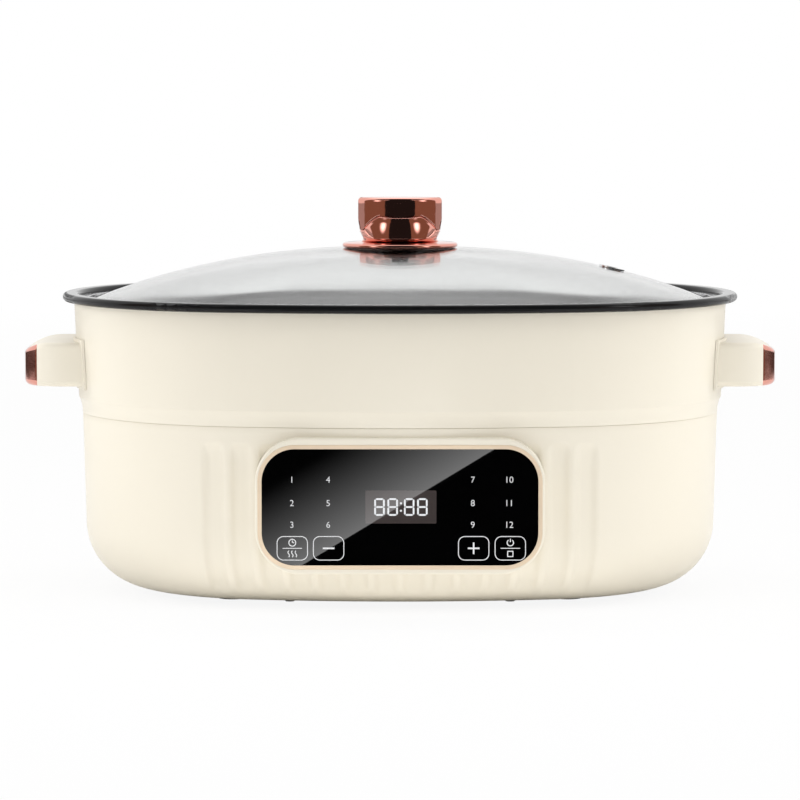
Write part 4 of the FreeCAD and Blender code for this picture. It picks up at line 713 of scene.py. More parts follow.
def mark_front(body, mesh):
    """Mark the points on the outer skin of the base's front half, which the flutes press in."""
    end_centre, front_radius, front_centre = plan(body)
    corner_top, _, _, bend_centre = wall_bend(body)
    outer = mesh.attributes.new("outer", "FLOAT", "POINT")
    for vertex in mesh.vertices:
        across, along, up = abs(vertex.co.x), vertex.co.y, vertex.co.z
        if along > 0:
            continue
        if across - end_centre > -along * end_centre / front_centre:
            inset = body.end_radius - math.hypot(across - end_centre, along)
        else:
            inset = front_radius - math.hypot(across, along - front_centre)
        if up > corner_top:
            on_skin = inset < body.inset + body.taper + WALL_NEAR and up < body.top - EDGE_NEAR
        else:
            on_skin = math.hypot(bend_centre - inset, corner_top - up) > body.corner - BEND_NEAR
        outer.data[vertex.index].value = float(on_skin)


def make_housing(body):
    """The base housing with its flutes, openings and screw bosses."""
    section = housing_section(body)
    stations = oval_stations(body, body.flute_pitch / FLUTE_STATIONS, PLAIN_STEP, FINE_REACH)
    places = []
    for centre, direction, radius in stations:
        for inset, height in section:
            places.append((*(centre + direction * (radius - inset)), height))
    thing = mesh_from("fluted_housing", places, skin(len(stations), len(section)),
                      finish("cream_moulding"), 35)
    mark_front(body, thing.data)
    _, front_radius, front_centre = plan(body)
    flute_tree().run(thing, {
        "Pitch": body.flute_pitch, "Width": body.flute_width, "Depth": body.flute_depth,
        "Ridge": body.ridge_depth, "Top": body.flute_top, "Rise": body.flute_rise,
        "Radius": front_radius - body.inset, "Centre": front_centre,
        "Material": finish("cream_moulding")})
    near, far = OPENING_DEPTHS
    window = rounded_block((GLASS_HIGH.x - GLASS_LOW.x) / 2 + GLASS_GAP,
                           (GLASS_HIGH.z - GLASS_LOW.z) / 2 + GLASS_GAP, GLASS_CORNER + GLASS_GAP,
                           (0, (GLASS_HIGH.z + GLASS_LOW.z) / 2), -far, -near)
    socket = rounded_block(*SOCKET_HALF, SOCKET_CORNER, (0, SOCKET_LEVEL), near, far)
    carve(thing, gathered("opening_tool", [window, socket], finish("cream_moulding")))
    form = bmesh.new()
    form.from_mesh(thing.data)
    for low, high in islands("bottom_screws"):
        points, polygons = turned([(BOSS_RADIUS, FLOOR_TOP), (BOSS_RADIUS, BOSS_TOP),
                                   (BOSS_BORE, BOSS_TOP), (BOSS_BORE, FLOOR_TOP)], 20, (low + high) / 2)
        made = [form.verts.new(point) for point in points]
        for polygon in polygons:
            form.faces.new([made[index] for index in polygon])
    form.to_mesh(thing.data)
    form.free()
    if "outer" in thing.data.attributes:
        thing.data.attributes.remove(thing.data.attributes["outer"])
    soften(thing.data, 35)
    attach(thing, "base")
    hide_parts("base_housing")


# ---------------------------------------------------------------- screws and spring

SCREW_HEAD = 0.0016
SPRING_TURNS = 7.0
SPRING_WIRE = 0.0006


def screw_tree():
    """Sets a cross-slotted pan head and its shank on each point, along the point's own axis."""
    tree = Tree("cross_slot_screws", {
        "Head radius": 0.0029, "Head height": SCREW_HEAD, "Slot width": 0.0007, "Slot depth": 0.0009,
        "Shank radius": 0.0014, "Shank length": 0.008})
    radius, height, slot, deep, shank_radius, shank_length = tree.terms
    head = tree.add("GeometryNodeMeshCone", {
        "Vertices": 32, "Radius Top": radius * 0.84, "Radius Bottom": radius, "Depth": height,
        "Side Segments": 1, "Fill Segments": 1})
    slotted = tree.add("GeometryNodeMeshBoolean", {"Mesh 1": head.outputs["Mesh"]},
                       operation="DIFFERENCE", solver="EXACT")
    arm = radius * 1.25
    for sides in ((arm, slot), (slot, arm)):
        cube = tree.add("GeometryNodeMeshCube", {"Size": tree.vector(*sides, deep * 2.0)})
        raised = tree.moved(cube.outputs["Mesh"], Translation=tree.vector(z=height))
        tree.join(raised, slotted.inputs["Mesh 2"])
    shank = tree.add("GeometryNodeMeshCylinder", {
        "Vertices": 20, "Radius": shank_radius, "Depth": shank_length})
    whole = tree.add("GeometryNodeJoinGeometry")
    tree.join(tree.moved(shank.outputs["Mesh"], Translation=tree.vector(z=shank_length * -0.5)),
              whole.inputs[0])
    tree.join(slotted.outputs["Mesh"], whole.inputs[0])
    turn = tree.add("FunctionNodeAlignRotationToVector", {
        "Vector": tree.attribute("axis", "FLOAT_VECTOR")}, axis="Z")
    return tree.close(tree.placed(whole.outputs[0], Rotation=turn.outputs[0]))


def make_screws(name, tree, node, axis, shank):
    """Screws of one node: a head on the outer end of each of its solids."""
    points = []
    for low, high in islands(node):
        centre = (low + high) / 2
        points.append((centre.x, centre.y, low.z + SCREW_HEAD) if axis.z < 0 else
                      (centre.x, high.y - SCREW_HEAD, centre.z))
    thing = dotted(name, points)
    for item in thing.data.attributes.new("axis", "FLOAT_VECTOR", "POINT").data:
        item.vector = axis
    tree.run(thing, {"Shank length": shank, "Material": finish("plated_screw")})
    soften(thing.data, 30)
    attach(thing, "base")
    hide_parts(node)


def spring_tree():
    """A wire wound round an upright axis, its lowest point at the object's origin."""
    tree = Tree("wound_spring", {"Turns": SPRING_TURNS, "Coil radius": 0.007,
                                 "Wire radius": SPRING_WIRE, "Height": 0.013})
    turns, radius, wire, height = tree.terms
    coil = tree.add("GeometryNodeCurveSpiral", {
        "Resolution": 40, "Rotations": turns, "Start Radius": radius, "End Radius": radius,
        "Height": height - wire * 2.0})
    round_wire = tree.add("GeometryNodeCurvePrimitiveCircle", {"Resolution": 12, "Radius": wire})
    swept = tree.add("GeometryNodeCurveToMesh", {
        "Curve": coil.outputs[0], "Profile Curve": round_wire.outputs[0], "Fill Caps": True})
    return tree.close(tree.moved(swept.outputs[0], Translation=tree.vector(z=wire)))


def make_spring():
    """The probe's spring, wound to the height of the CAD spring under the temperature probe."""
    low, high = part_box("sensor_spring")
    middle = ((low[0] + high[0]) / 2, (low[1] + high[1]) / 2)
    height = high[2] - low[2]
    thing = dotted("probe_spring", [])
    spring_tree().run(thing, {
        "Turns": SPRING_TURNS, "Coil radius": (high[0] - low[0]) / 2 - SPRING_WIRE,
        "Wire radius": SPRING_WIRE, "Height": height, "Material": finish("plated_screw")})
    thing.data.transform(Matrix.Translation((middle[0], middle[1], low[2])))
    soften(thing.data, 40)
    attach(thing, "base")
    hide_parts("sensor_spring")
    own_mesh(thing)


# ---------------------------------------------------------------- touch panel

PRINT_BACK = GLASS_LOW.y + 0.00004
PRINT_FRONT = GLASS_LOW.y - 0.00008
PRINT_MIDDLE = (PRINT_BACK + PRINT_FRONT) / 2
COLUMNS = (-0.0575, -0.0382, 0.0387, 0.0580)
ROWS = (0.0731, 0.0606, 0.0490)
KEYS = (-0.0573, -0.0380, 0.0392, 0.0587)
KEY_LEVEL = 0.0366
WINDOW = (0.0005, 0.0587)
WINDOW_HALF, WINDOW_CORNER = (0.0189, 0.00885), 0.0006
DIGITS = (-0.0114, -0.0044, 0.0044, 0.0114)    # the digits' places from the middle of the window
DIGIT_RISE, DIGIT_THICKNESS = 0.00006, 0.0001  # how far a digit lies before the print, its thickness
SEGMENT_SHARE = 0.97      # share of its run that a segment fills
SIGN_SHIFT = 0.0030       # how far the upper and the lower sign of a key lie from its line
BOLD = 0.00085            # line width of minus and plus
BAR = 0.0031              # half length of minus and plus


def solid_strip(places, width, closed=False):
    """A flat printed bar along points (across, up), as points and faces."""
    places = [Vector(place) for place in places]
    count = len(places)
    points = []
    for index, place in enumerate(places):
        before = places[index - 1] if index or closed else place
        after = places[(index + 1) % count] if index < count - 1 or closed else place
        run_in, run_out = (place - before).normalized(), (after - place).normalized()
        run = (run_in + run_out).normalized() if (run_in + run_out).length > 1e-9 else run_in
        across = Vector((-run.y, run.x))
        bend = max(0.4, across.dot(Vector((-run_out.y, run_out.x))) if run_out.length else 1.0)
        reach = across * (width / 2 / bend)
        left, right = place + reach, place - reach
        points += [(left.x, PRINT_FRONT, left.y), (right.x, PRINT_FRONT, right.y),
                   (right.x, PRINT_BACK, right.y), (left.x, PRINT_BACK, left.y)]
    faces = skin(count, 4, open_end=not closed)
    if not closed:
        faces += [(0, 1, 2, 3), tuple(range(4 * count - 4, 4 * count))]
    return points, faces


def marked(thing):
    """A mark on the panel rides on the base."""
    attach(thing, "base")


def make_numbers(panel):
    """Plain numbers one to twelve beside the display."""
    parts = []
    for row, level in enumerate(ROWS):
        for column, across in enumerate(COLUMNS):
            curve = bpy.data.curves.new("number", "FONT")
            curve.body = str(1 + row + 3 * column)
            curve.size = panel.number_height
            curve.align_x = curve.align_y = "CENTER"
            curve.extrude = (PRINT_BACK - PRINT_FRONT) / 2
            curve.resolution_u = 4
            curve.offset = -0.00003
            holder = add_object("number", curve)
            mesh = evaluated(holder)
            points = [(across + vertex.co.x, PRINT_MIDDLE - vertex.co.z, level + vertex.co.y)
                      for vertex in mesh.vertices]
            parts.append((points, [tuple(face.vertices) for face in mesh.polygons]))
            bpy.data.objects.remove(holder)
            bpy.data.curves.remove(curve)
            bpy.data.meshes.remove(mesh)
    marked(gathered("key_numbers", parts, finish("panel_print"), 30))


def make_signs(panel):
    """Clock over heat, minus, plus, and power over stop, each drawn from the middle of its key."""
    line = panel.line_width * 1.15
    parts = []

    def draw(points, width=line, closed=False):
        parts.append(solid_strip(points, width, closed))

    first, minus, plus, last = KEYS
    for across in (minus, plus):
        draw([(across - BAR, KEY_LEVEL), (across + BAR, KEY_LEVEL)], BOLD)
    for start, end in ((-BAR, -0.00043), (0.00043, BAR)):
        draw([(plus, KEY_LEVEL + start), (plus, KEY_LEVEL + end)], BOLD)
    for across in (first, last):
        draw([(across - 0.0052, KEY_LEVEL), (across + 0.0052, KEY_LEVEL)], line * 0.8)
    high, low = KEY_LEVEL + SIGN_SHIFT, KEY_LEVEL - SIGN_SHIFT
    draw(ring_points((first, high), 0.00185), closed=True)
    draw([(first, high), (first, high + 0.0012)])
    draw([(first + line / 2, high), (first + 0.0010, high)])
    for shift in (-0.0019, 0.0, 0.0019):
        draw([(first + shift + 0.00042 * math.sin(step * math.pi / 4), low - 0.0017 + 0.000425 * step)
              for step in range(9)])
    draw(ring_points((last, high), 0.0017, 125, 415, 22))
    draw([(last, high + 0.0003), (last, high + 0.0021)])
    stop = 0.0014
    draw([(last + x * stop, low + z * stop) for x, z in ((-1, -1), (1, -1), (1, 1), (-1, 1))],
         closed=True)
    marked(gathered("key_signs", parts, finish("panel_print"), 30))


def key_tree():
    """A rounded outline on each point, parallel to the panel."""
    tree = Tree("key_outlines", {"Width": 0.016, "Height": 0.0126, "Corner": 0.0034, "Line": 0.0004,
                                 "Thickness": 0.0001})
    width, height, corner, line, thickness = tree.terms
    outline, profile = (
        tree.add("GeometryNodeCurvePrimitiveQuadrilateral", {"Width": across, "Height": up}).outputs[0]
        for across, up in ((width, height), (line, thickness)))
    rounded = tree.add("GeometryNodeFilletCurve", {"Curve": outline, "Radius": corner, "Count": 8},
                       mode="POLY")
    ring = tree.add("GeometryNodeCurveToMesh", {"Curve": rounded.outputs[0], "Profile Curve": profile})
    return tree.close(tree.placed(tree.moved(ring.outputs[0], Rotation=(math.pi / 2, 0, 0))))


def make_keys(panel):
    thing = dotted("key_outlines", [(across, PRINT_MIDDLE, KEY_LEVEL) for across in KEYS])
    key_tree().run(thing, {
        "Width": panel.key_width, "Height": panel.key_height, "Corner": panel.key_corner,
        "Line": panel.line_width, "Thickness": PRINT_BACK - PRINT_FRONT,
        "Material": finish("panel_print")})
    soften(thing.data, 30)
    marked(thing)


def segment_tree():
    """A pointed bar on each point, level or upright as the point's turn says."""
    tree = Tree("digit_segments", {"Length": 0.004, "Width": 0.0009, "Thickness": 0.0001})
    reach, width, thickness = tree.terms
    bar = tree.add("GeometryNodeMeshCube", {"Size": tree.vector(reach, thickness, width),
                                            "Vertices X": 8})
    across, along, up = tree.place()
    taper = tree.math("DIVIDE", reach * 0.5 - abs(across), width * 0.5, clamp=True)
    tip = tree.vector(across, along, up * tree.math("MAXIMUM", taper, 0.15))
    pointed = tree.add("GeometryNodeSetPosition", {"Geometry": bar.outputs["Mesh"], "Position": tip})
    turn = tree.add("FunctionNodeEulerToRotation", {0: tree.vector(y=tree.attribute("turn"))})
    return tree.close(tree.placed(pointed.outputs[0], Rotation=turn.outputs[0]))


def make_digits(panel):
    """Four lit digits with all their segments, and the two dots between them."""
    level = PRINT_FRONT - DIGIT_RISE
    wide, tall = panel.digit_width - panel.segment_width, panel.digit_height - panel.segment_width
    points, turns = [], []
    for shift in DIGITS:
        places = [(0.0, up, 0.0) for up in (-tall / 2, 0.0, tall / 2)]
        places += [(across, up, math.pi / 2) for across in (-wide / 2, wide / 2)
                   for up in (-tall / 4, tall / 4)]
        for across, up, turn in places:
            points.append((WINDOW[0] + shift + across, level, WINDOW[1] + up))
            turns.append(turn)
    thing = dotted("display_digits", points)
    thing.data.attributes.new("turn", "FLOAT", "POINT").data.foreach_set("value", turns)
    segment_tree().run(thing, {"Length": min(wide, tall / 2) * SEGMENT_SHARE,
                               "Width": panel.segment_width, "Thickness": DIGIT_THICKNESS,
                               "Material": finish("lit_digit")})
    marked(thing)
    half = panel.segment_width * 0.55
    near, far = level - DIGIT_THICKNESS / 2, level + DIGIT_THICKNESS / 2
    dots = [rounded_block(half, half, half * 0.6, (WINDOW[0], WINDOW[1] + up), near, far)
            for up in (-0.0020, 0.0020)]
    marked(gathered("display_dots", dots, finish("lit_digit"), 30))


def make_window():
    """The grey display that shows through the glass."""
    block = rounded_block(*WINDOW_HALF, WINDOW_CORNER, WINDOW, PRINT_FRONT, PRINT_BACK)
    marked(gathered("display_window", [block], finish("display_window"), 30))


# ---------------------------------------------------------------- knob

NECK, NECK_FLARE = 0.0020, 0.0009      # height and flare of the foot at the two sides
BOWL_DRAW = 0.0023        # how much narrower the bowl is at its ledge than at its belly
GRIP_RISE = 0.0105        # height over which the sides widen from waist to top
WEB_BLEND = 0.0030        # length over which the round form passes into the web's flat face
WEB_THINNEST, TOP_THINNEST = 0.0004, 0.0002    # the least half thickness of the web and of its top
WEB_START = 0.0002        # height over the bowl's edge at which the web starts
SIDE_LIFT = 0.0040        # how much higher than the bowl's edge the web's width is read
TOP_SHARE = 0.66          # share of the web's height over which it reaches the top's width
PLATE_BORE = 0.0021
CROWN_RUN, CROWN_FALL = 0.0035, 0.0002  # how far out and down the plate falls beside the bowl


def ledge_height(knob, across):
    """The height of the bowl's edge: a slight dip in the middle, and an arch down to the sides."""
    reach = abs(across)
    if reach < knob.ledge_half:
        return knob.ledge - knob.ledge_dip * (1 - (reach / knob.ledge_half) ** 2)
    share = min(1.0, (reach - knob.ledge_half) / (knob.waist_radius - knob.ledge_half))
    return knob.ledge - (knob.ledge - knob.ledge_side) * share ** 1.6


def knob_radius(knob, height, cos):
    """The knob's radius at a height: a bowl to the front and back, a grip to the sides."""
    up = height - KNOB_LOW.z
    if up < knob.belly:
        share = up / knob.belly
        bowl = knob.foot_radius + (knob.bowl_radius - knob.foot_radius) * math.sqrt(share * (2 - share))
    else:
        share = (up - knob.belly) / (knob.ledge - KNOB_LOW.z - knob.belly)
        bowl = knob.bowl_radius - BOWL_DRAW * share * share
    if up < NECK:
        side = knob.waist_radius + NECK_FLARE * (1 - up / NECK) ** 2
    else:
        share = min(1.0, (up - NECK) / GRIP_RISE)
        side = knob.waist_radius + (knob.top_radius - knob.waist_radius) * (1 - (1 - share) ** 2.2)
    return bowl + (side - bowl) * abs(cos) ** 7


def smaller(one, other, blend):
    """The smaller of two lengths, with a soft change from one to the other."""
    share = max(blend - abs(one - other), 0.0) / blend
    return min(one, other) - share * share * blend / 4


def web_face(knob, across):
    """Half of the web's thickness at a distance from its middle."""
    drop = knob.web_bend - math.sqrt(max(knob.web_bend ** 2 - across * across, 0.0))
    return max(knob.web_half - drop, WEB_THINNEST)


def knob_column(knob, angle):
    """The points up one side of the knob, from the middle of its foot to the middle of its top."""
    edge = knob.edge
    cos, sin = math.cos(angle), math.sin(angle)
    side = 1.0 if sin >= 0 else -1.0
    ledge = knob.ledge
    for _ in range(6):
        ledge = ledge_height(knob, knob_radius(knob, ledge, cos) * cos)

    def place(radius, height, limit=None):
        along = abs(radius * sin)
        if limit is not None:
            along = smaller(along, limit, min(WEB_BLEND, 2 * along, 2 * limit) + 1e-9)
        return (radius * cos, side * along, height)

    belly = KNOB_LOW.z + knob.belly
    heights = [KNOB_LOW.z + knob.belly * (1 - math.cos(step / 12 * math.pi / 2)) for step in range(12)]
    heights += [belly + (ledge - edge - belly) * step / 8 for step in range(8)]
    column = [(0.0, 0.0, KNOB_LOW.z)]
    column += [place(knob_radius(knob, height, cos), height) for height in heights]
    rim = knob_radius(knob, ledge, cos)
    web = web_face(knob, rim * cos)
    for step in range(6):
        turn = step / 5 * math.pi / 2
        column.append(place(rim - edge * (1 - math.cos(turn)), ledge - edge * (1 - math.sin(turn))))
    reach = abs((rim - edge) * sin)
    for step in range(1, 4):
        share = step / 3
        limit = reach + (min(web, reach) - reach) * share
        column.append(((rim - edge) * cos, side * limit, ledge + WEB_START / 2 * share))
    low, top = ledge + WEB_START, KNOB_HIGH.z
    shoulder = top - knob.top_edge
    for step in range(9):
        share = step / 8
        height = low + (shoulder - low) * share
        grip = knob_radius(knob, max(height, ledge + SIDE_LIFT * share), cos)
        radius = rim + (grip - rim) * min(1, 3 * share)
        radius += (max(radius, knob.top_radius) - radius) * min(1.0, share / TOP_SHARE) ** 2
        column.append(place(radius, height, web_face(knob, radius * cos)))
    radius = knob.top_radius
    web = web_face(knob, radius * cos)
    for step in range(1, 8):
        turn = step / 7 * math.pi / 2
        shrink = knob.top_edge * (1 - math.cos(turn))
        column.append(place(radius - shrink, shoulder + knob.top_edge * math.sin(turn),
                            max(web - shrink, TOP_THINNEST)))
    end = column[-1]
    return column + [(end[0], end[1] * (1 - step / 4), top) for step in range(1, 5)]


def make_knob(knob):
    """The knob: a bowl that bulges to the front and back, with a broad web across it."""
    count = 216
    columns = [knob_column(knob, 2 * math.pi * index / count) for index in range(count)]
    thing = mesh_from("knob_grip", [place for column in columns for place in column],
                      skin(count, len(columns[0]), open_rows=True), finish("copper_gold"), 50)
    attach(thing, "lid")
    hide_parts("knob")


def make_plate(knob):
    """The plate under the knob, turned with a rounded lip."""
    low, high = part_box("knob_plate")
    section = [(PLATE_BORE, low.z)]
    for step in range(17):
        turn = math.radians(-90 + 160 * step / 16)
        section.append((high.x - knob.lip + knob.lip * math.cos(turn),
                        low.z + knob.lip * (1 + math.sin(turn))))
    section += [(knob.bowl_radius + CROWN_RUN, high.z - CROWN_FALL), (knob.bowl_radius, high.z),
                (PLATE_BORE, high.z)]
    thing = mesh_from("turned_plate", *turned(section, 128), finish("copper_gold"), 50)
    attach(thing, "lid")
    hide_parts("knob_plate")


# ---------------------------------------------------------------- glass lid

GLASS_ROUND = 0.0006      # size of the flat on each edge of the glass
DOME_START = 0.06         # share of the dome's width at which its rings of points start


def oval_radius(body, inset, angle):
    """How far the plan oval, moved inwards by an inset, lies from its middle in a direction."""
    end_centre, front_radius, front_centre = plan(body)
    cos, sin = abs(math.cos(angle)), abs(math.sin(angle))
    end, front = body.end_radius - inset, front_radius - inset
    share = end / (front_radius - body.end_radius)
    meet = math.atan2(share * front_centre, end_centre + share * end_centre)
    if math.atan2(sin, cos) < meet:
        return end_centre * cos + math.sqrt(end * end - (end_centre * sin) ** 2)
    return math.sqrt(front * front - (front_centre * cos) ** 2) - front_centre * sin


def even_outline(body, inset, terms=7):
    """The same oval as a few smooth waves, so that its bend changes evenly."""
    count = 720
    angles = [2 * math.pi * index / count for index in range(count)]
    radii = [oval_radius(body, inset, angle) for angle in angles]
    waves = [sum(radius * math.cos(2 * term * angle) for radius, angle in zip(radii, angles)) * 2 / count
             for term in range(terms + 1)]
    waves[0] /= 2
    return lambda angle: sum(wave * math.cos(2 * term * angle) for term, wave in enumerate(waves))


def make_glass(body, lid):
    """The domed glass: its outside, its edge and its inside, with the holes for knob and vent."""
    low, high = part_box("lid_glass")
    rim = low.z + lid.thickness
    half = body.half_length - lid.dome_inset
    run, rise = half - lid.flat, high.z - rim
    bend = (run * run + rise * rise) / (2 * rise)
    outline = even_outline(body, lid.dome_inset)

    def height(share):
        beyond = max(0.0, share * half - lid.flat)
        return high.z - bend + math.sqrt(bend * bend - beyond * beyond)

    shares = [DOME_START + (1 - DOME_START) * step / 30 for step in range(31)]
    count = 288
    places = []
    for index in range(count):
        angle = 2 * math.pi * index / count
        reach, edge = outline(angle), oval_radius(body, lid.edge_inset, angle)
        section = [(lid.bore, high.z)] + [(share * reach, height(share)) for share in shares]
        section += [(edge - GLASS_ROUND, rim), (edge, rim - GLASS_ROUND), (edge, low.z + GLASS_ROUND),
                    (edge - GLASS_ROUND, low.z)]
        section += [(share * reach, height(share) - lid.thickness) for share in reversed(shares)]
        section.append((lid.bore, high.z - lid.thickness))
        places += [(radius * math.cos(angle), radius * math.sin(angle), level)
                   for radius, level in section]
    thing = mesh_from("domed_glass", places, skin(count, len(places) // count),
                      finish("lid_clear_glass"), 40)
    rings = [[(x, y, level) for x, y in ring_points((lid.vent_across, 0), lid.vent_hole, count=40)]
             for level in (low.z, high.z)]
    carve(thing, gathered("vent_drill", [prism(*rings)], finish("lid_clear_glass")))
    soften(thing.data, 40)
    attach(thing, "lid")
    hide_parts("lid_glass")


# ---------------------------------------------------------------- light, floor and camera

WHITE = (1, 1, 1)
LAMPS = (   # name, place, aim, size, power in watts
    ("left_near_box", (-0.62, -0.36, 0.30), (-0.05, -0.08, 0.10), (0.30, 0.40), 0.64),
    ("right_near_box", (0.62, -0.36, 0.30), (0.05, -0.08, 0.10), (0.30, 0.40), 0.64),
    ("left_box", (-1.80, 0.60, 0.60), (0, 0, 0.1), (0.6, 0.7), 11.0),
    ("right_box", (1.80, 0.60, 0.60), (0, 0, 0.1), (0.6, 0.7), 11.0),
    ("front_box", (0, -0.9, 1.7), (0, -0.5, 0), (1.8, 0.8), 8.0),
    ("top_box", (0, 0.25, 1.8), (0, 0.25, 0), (1.6, 1.0), 7.0),
    ("table_glow", (0, -0.225, 0.002), (0, -0.225, 1), (1.6, 0.25), 0.54),
)
KNOB_AIM = (0, 0, 0.18)
CARD_LEVEL = -0.30        # depth of the cards in front of the panel
GLARE = ((-0.0596, 0.0034), (0.0564, 0.0737))  # ends of the streak's straight bright edge
GLARE_WIDTH, GLARE_STRENGTH = 0.050, 4.0
FLOOR_HALF = 60.0
CAMERA_PLACE, CAMERA_DROP, CAMERA_LENS = (0.0, -2.376, 0.306), 4.82, 192.0    # drop in degrees


def stage_plane(name, corners, material, faces=None):
    mesh = bpy.data.meshes.new(name)
    mesh.from_pydata(corners, [], faces or [tuple(range(len(corners)))])
    mesh.materials.append(material)
    thing = add_object(name, mesh)
    return thing


def floor_finish():
    """A pale matt floor that shows white to the eye and still takes the shadow."""
    made = Finish("studio_floor")
    matt = made.principled({"Base Color": (0.92, 0.92, 0.92, 1), "Roughness": 0.9,
                            "Specular IOR Level": 0.0})
    eye = made.add("ShaderNodeLightPath").outputs["Is Camera Ray"]
    share = made.math("MULTIPLY", eye, made.spread(made.away(), 0.25, 2.5, 0.90, 1.0))
    return made.close(made.mixed(share, matt, made.glow(WHITE, 1.0)))


def light_world():
    """White to the eye, in mirrors and through glass; a softer white for all else."""
    world = bpy.data.worlds.new("white_room")
    bpy.context.scene.world = world
    world.use_nodes = True
    nodes = Nodes(world.node_tree)
    nodes.tree.nodes.clear()
    felt, seen = (nodes.add("ShaderNodeBackground", {"Color": WHITE + (1,),
                                                     "Strength": strength}).outputs[0]
                  for strength in (0.475, 1.0))
    path = nodes.add("ShaderNodeLightPath").outputs
    either = path["Is Camera Ray"]
    for ray in ("Is Glossy Ray", "Is Transmission Ray"):
        either = nodes.math("MAXIMUM", either, path[ray])
    nodes.join(nodes.mixed(either, felt, seen), nodes.add("ShaderNodeOutputWorld").inputs["Surface"])


def facing(thing, place, aim):
    """Put a lamp or a card in its place and turn it to its aim."""
    thing.location = place
    thing.rotation_euler = (Vector(aim) - Vector(place)).to_track_quat("-Z", "Y").to_euler()


def soft_box(name, place, aim, size, power):
    """A lamp that lights the pot but shows neither itself nor its reflection."""
    light = bpy.data.lights.new(name, "AREA")
    light.shape = "RECTANGLE"
    light.size, light.size_y = size
    light.energy = power
    thing = add_object(name, light)
    facing(thing, place, aim)
    thing.visible_camera = thing.visible_glossy = thing.visible_transmission = False


def card(name, corners, material, faces=None):
    """A card that shows only in reflections."""
    thing = stage_plane(name, corners, material, faces)
    for rays in ("camera", "diffuse", "shadow", "transmission", "volume_scatter"):
        setattr(thing, "visible_" + rays, False)
    return thing


def glare_finish():
    """A slanting streak of light that is brightest along one straight edge."""
    made = Finish("glare_card")
    start, end = (Vector(point) for point in GLARE)
    run = (end - start).normalized()
    across = (-run.y, 0, run.x)
    off = made.add("ShaderNodeVectorMath", {0: made.place, 1: across}, operation="DOT_PRODUCT")
    level = start.x * across[0] + start.y * across[2]
    fade = made.spread(off.outputs["Value"], level, level + GLARE_WIDTH, 1.0, 0.0)
    return made.close(made.glow(WHITE, made.math("POWER", fade, 1.7) * GLARE_STRENGTH))


def plain_finish(name, colour, strength):
    """An even glow without any relief, for a card."""
    made = Finish(name)
    return made.close(made.glow(colour, strength))


def soft_glow(name, strength):
    """A glow that fades out towards the rim of a card that is two units wide."""
    made = Finish(name)
    fade = made.spread(made.away(), 0.0, 1.0, 1.0, 0.0, interpolation_type="SMOOTHSTEP")
    clear = made.add("ShaderNodeBsdfTransparent").outputs[0]
    return made.close(made.mixed(fade, clear, made.glow(WHITE, strength)))


def soft_card(name, place, size, material):
    """A glow with soft edges that only mirrors see, turned to the object."""
    thing = card(name, [(-1, -1, 0), (1, -1, 0), (1, 1, 0), (-1, 1, 0)], material)
    facing(thing, place, KNOB_AIM)
    thing.scale = (*size, 1)


def surroundings(name, first, last, near, far, height, material):
    """The room round the table between two directions, as mirrors see it: its floor and its wall."""
    places, faces = [], []
    for share in range(first, last + 1, 5):
        across, along = math.sin(math.radians(share)), -math.cos(math.radians(share))
        here = len(places)
        places += [(across * near, along * near, 0.002), (across * far, along * far, 0.002),
                   (across * far, along * far, height)]
        if share < last:
            faces.append((here, here + 1, here + 4, here + 3))
            if height > 0.002:
                faces.append((here + 1, here + 2, here + 5, here + 4))
    card(name, places, material, faces)


def make_stage():
    """The floor, the lamps, the cards that only mirrors see, and the camera."""
    scene = bpy.context.scene
    scene.view_settings.view_transform = "Standard"
    light_world()
    half = FLOOR_HALF
    stage_plane("floor", [(-half, -half, 0), (half, -half, 0), (half, half, 0), (-half, half, 0)],
                floor_finish())
    for lamp in LAMPS:
        soft_box(*lamp)
    spot = soft_glow("soft_spot", 3.6)
    soft_card("left_spot", (-1.55, -1.05, 0.86), (0.44, 0.56), spot)
    soft_card("right_spot", (1.55, -1.05, 0.86), (0.44, 0.56), spot)
    soft_card("rear_sky", (0, 1.30, 2.85), (2.6, 0.80), soft_glow("soft_sky", 2.8))
    card("front_roof", [(-3.5, -2.6, 5.0), (3.5, -2.6, 5.0), (3.5, 0.3, 5.0), (-3.5, 0.3, 5.0)],
         plain_finish("dark_roof", WHITE, 0.03))
    surroundings("front_dark", -35, 35, 0.85, 3.0, 8.0, plain_finish("dark_room", WHITE, 0.016))
    warm = plain_finish("warm_room", (1.0, 0.62, 0.42), 0.24)
    dim = plain_finish("dim_room", (1.0, 0.66, 0.52), 0.06)
    surroundings("left_warm", -90, -35, 1.2, 3.0, 3.2, warm)
    surroundings("right_warm", 35, 90, 1.2, 3.0, 3.2, warm)
    surroundings("left_dim", -150, -90, 1.62, 2.14, 0.0, dim)
    surroundings("right_dim", 90, 150, 1.62, 2.14, 0.0, dim)
    streak = GLARE + ((0.0300, 0.1100), (-0.1250, 0.1100), (-0.1250, 0.0034))
    card("glare_card", [(x, CARD_LEVEL, z) for x, z in streak], glare_finish())
    card("dark_card", [(x, CARD_LEVEL - 0.01, z) for x, z in (
        (-0.16, 0.001), (0.16, 0.001), (0.16, 0.095), (-0.16, 0.095))],
         plain_finish("dark_card", WHITE, 0.0))
    camera = bpy.data.cameras.new("camera")
    camera.sensor_width = 36.0
    camera.lens = CAMERA_LENS
    camera.clip_end = 200.0
    holder = add_object("camera", camera)
    holder.location = CAMERA_PLACE
    holder.rotation_euler = (math.radians(90 - CAMERA_DROP), 0, 0)
    scene.camera = holder


# ---------------------------------------------------------------- operators and panel

class HOTPOT_OT_finishes(bpy.types.Operator):
    """Make the finishes and give each part its own"""
    bl_idname = "hotpot.finishes"
    bl_label = "Finishes"

    def execute(self, context):
        make_finishes(context.scene.hotpot.colours)
        for name, nodes in NODE_FINISHES.items():
            for node in nodes:
                dress(node, finish(name))
        return {"FINISHED"}


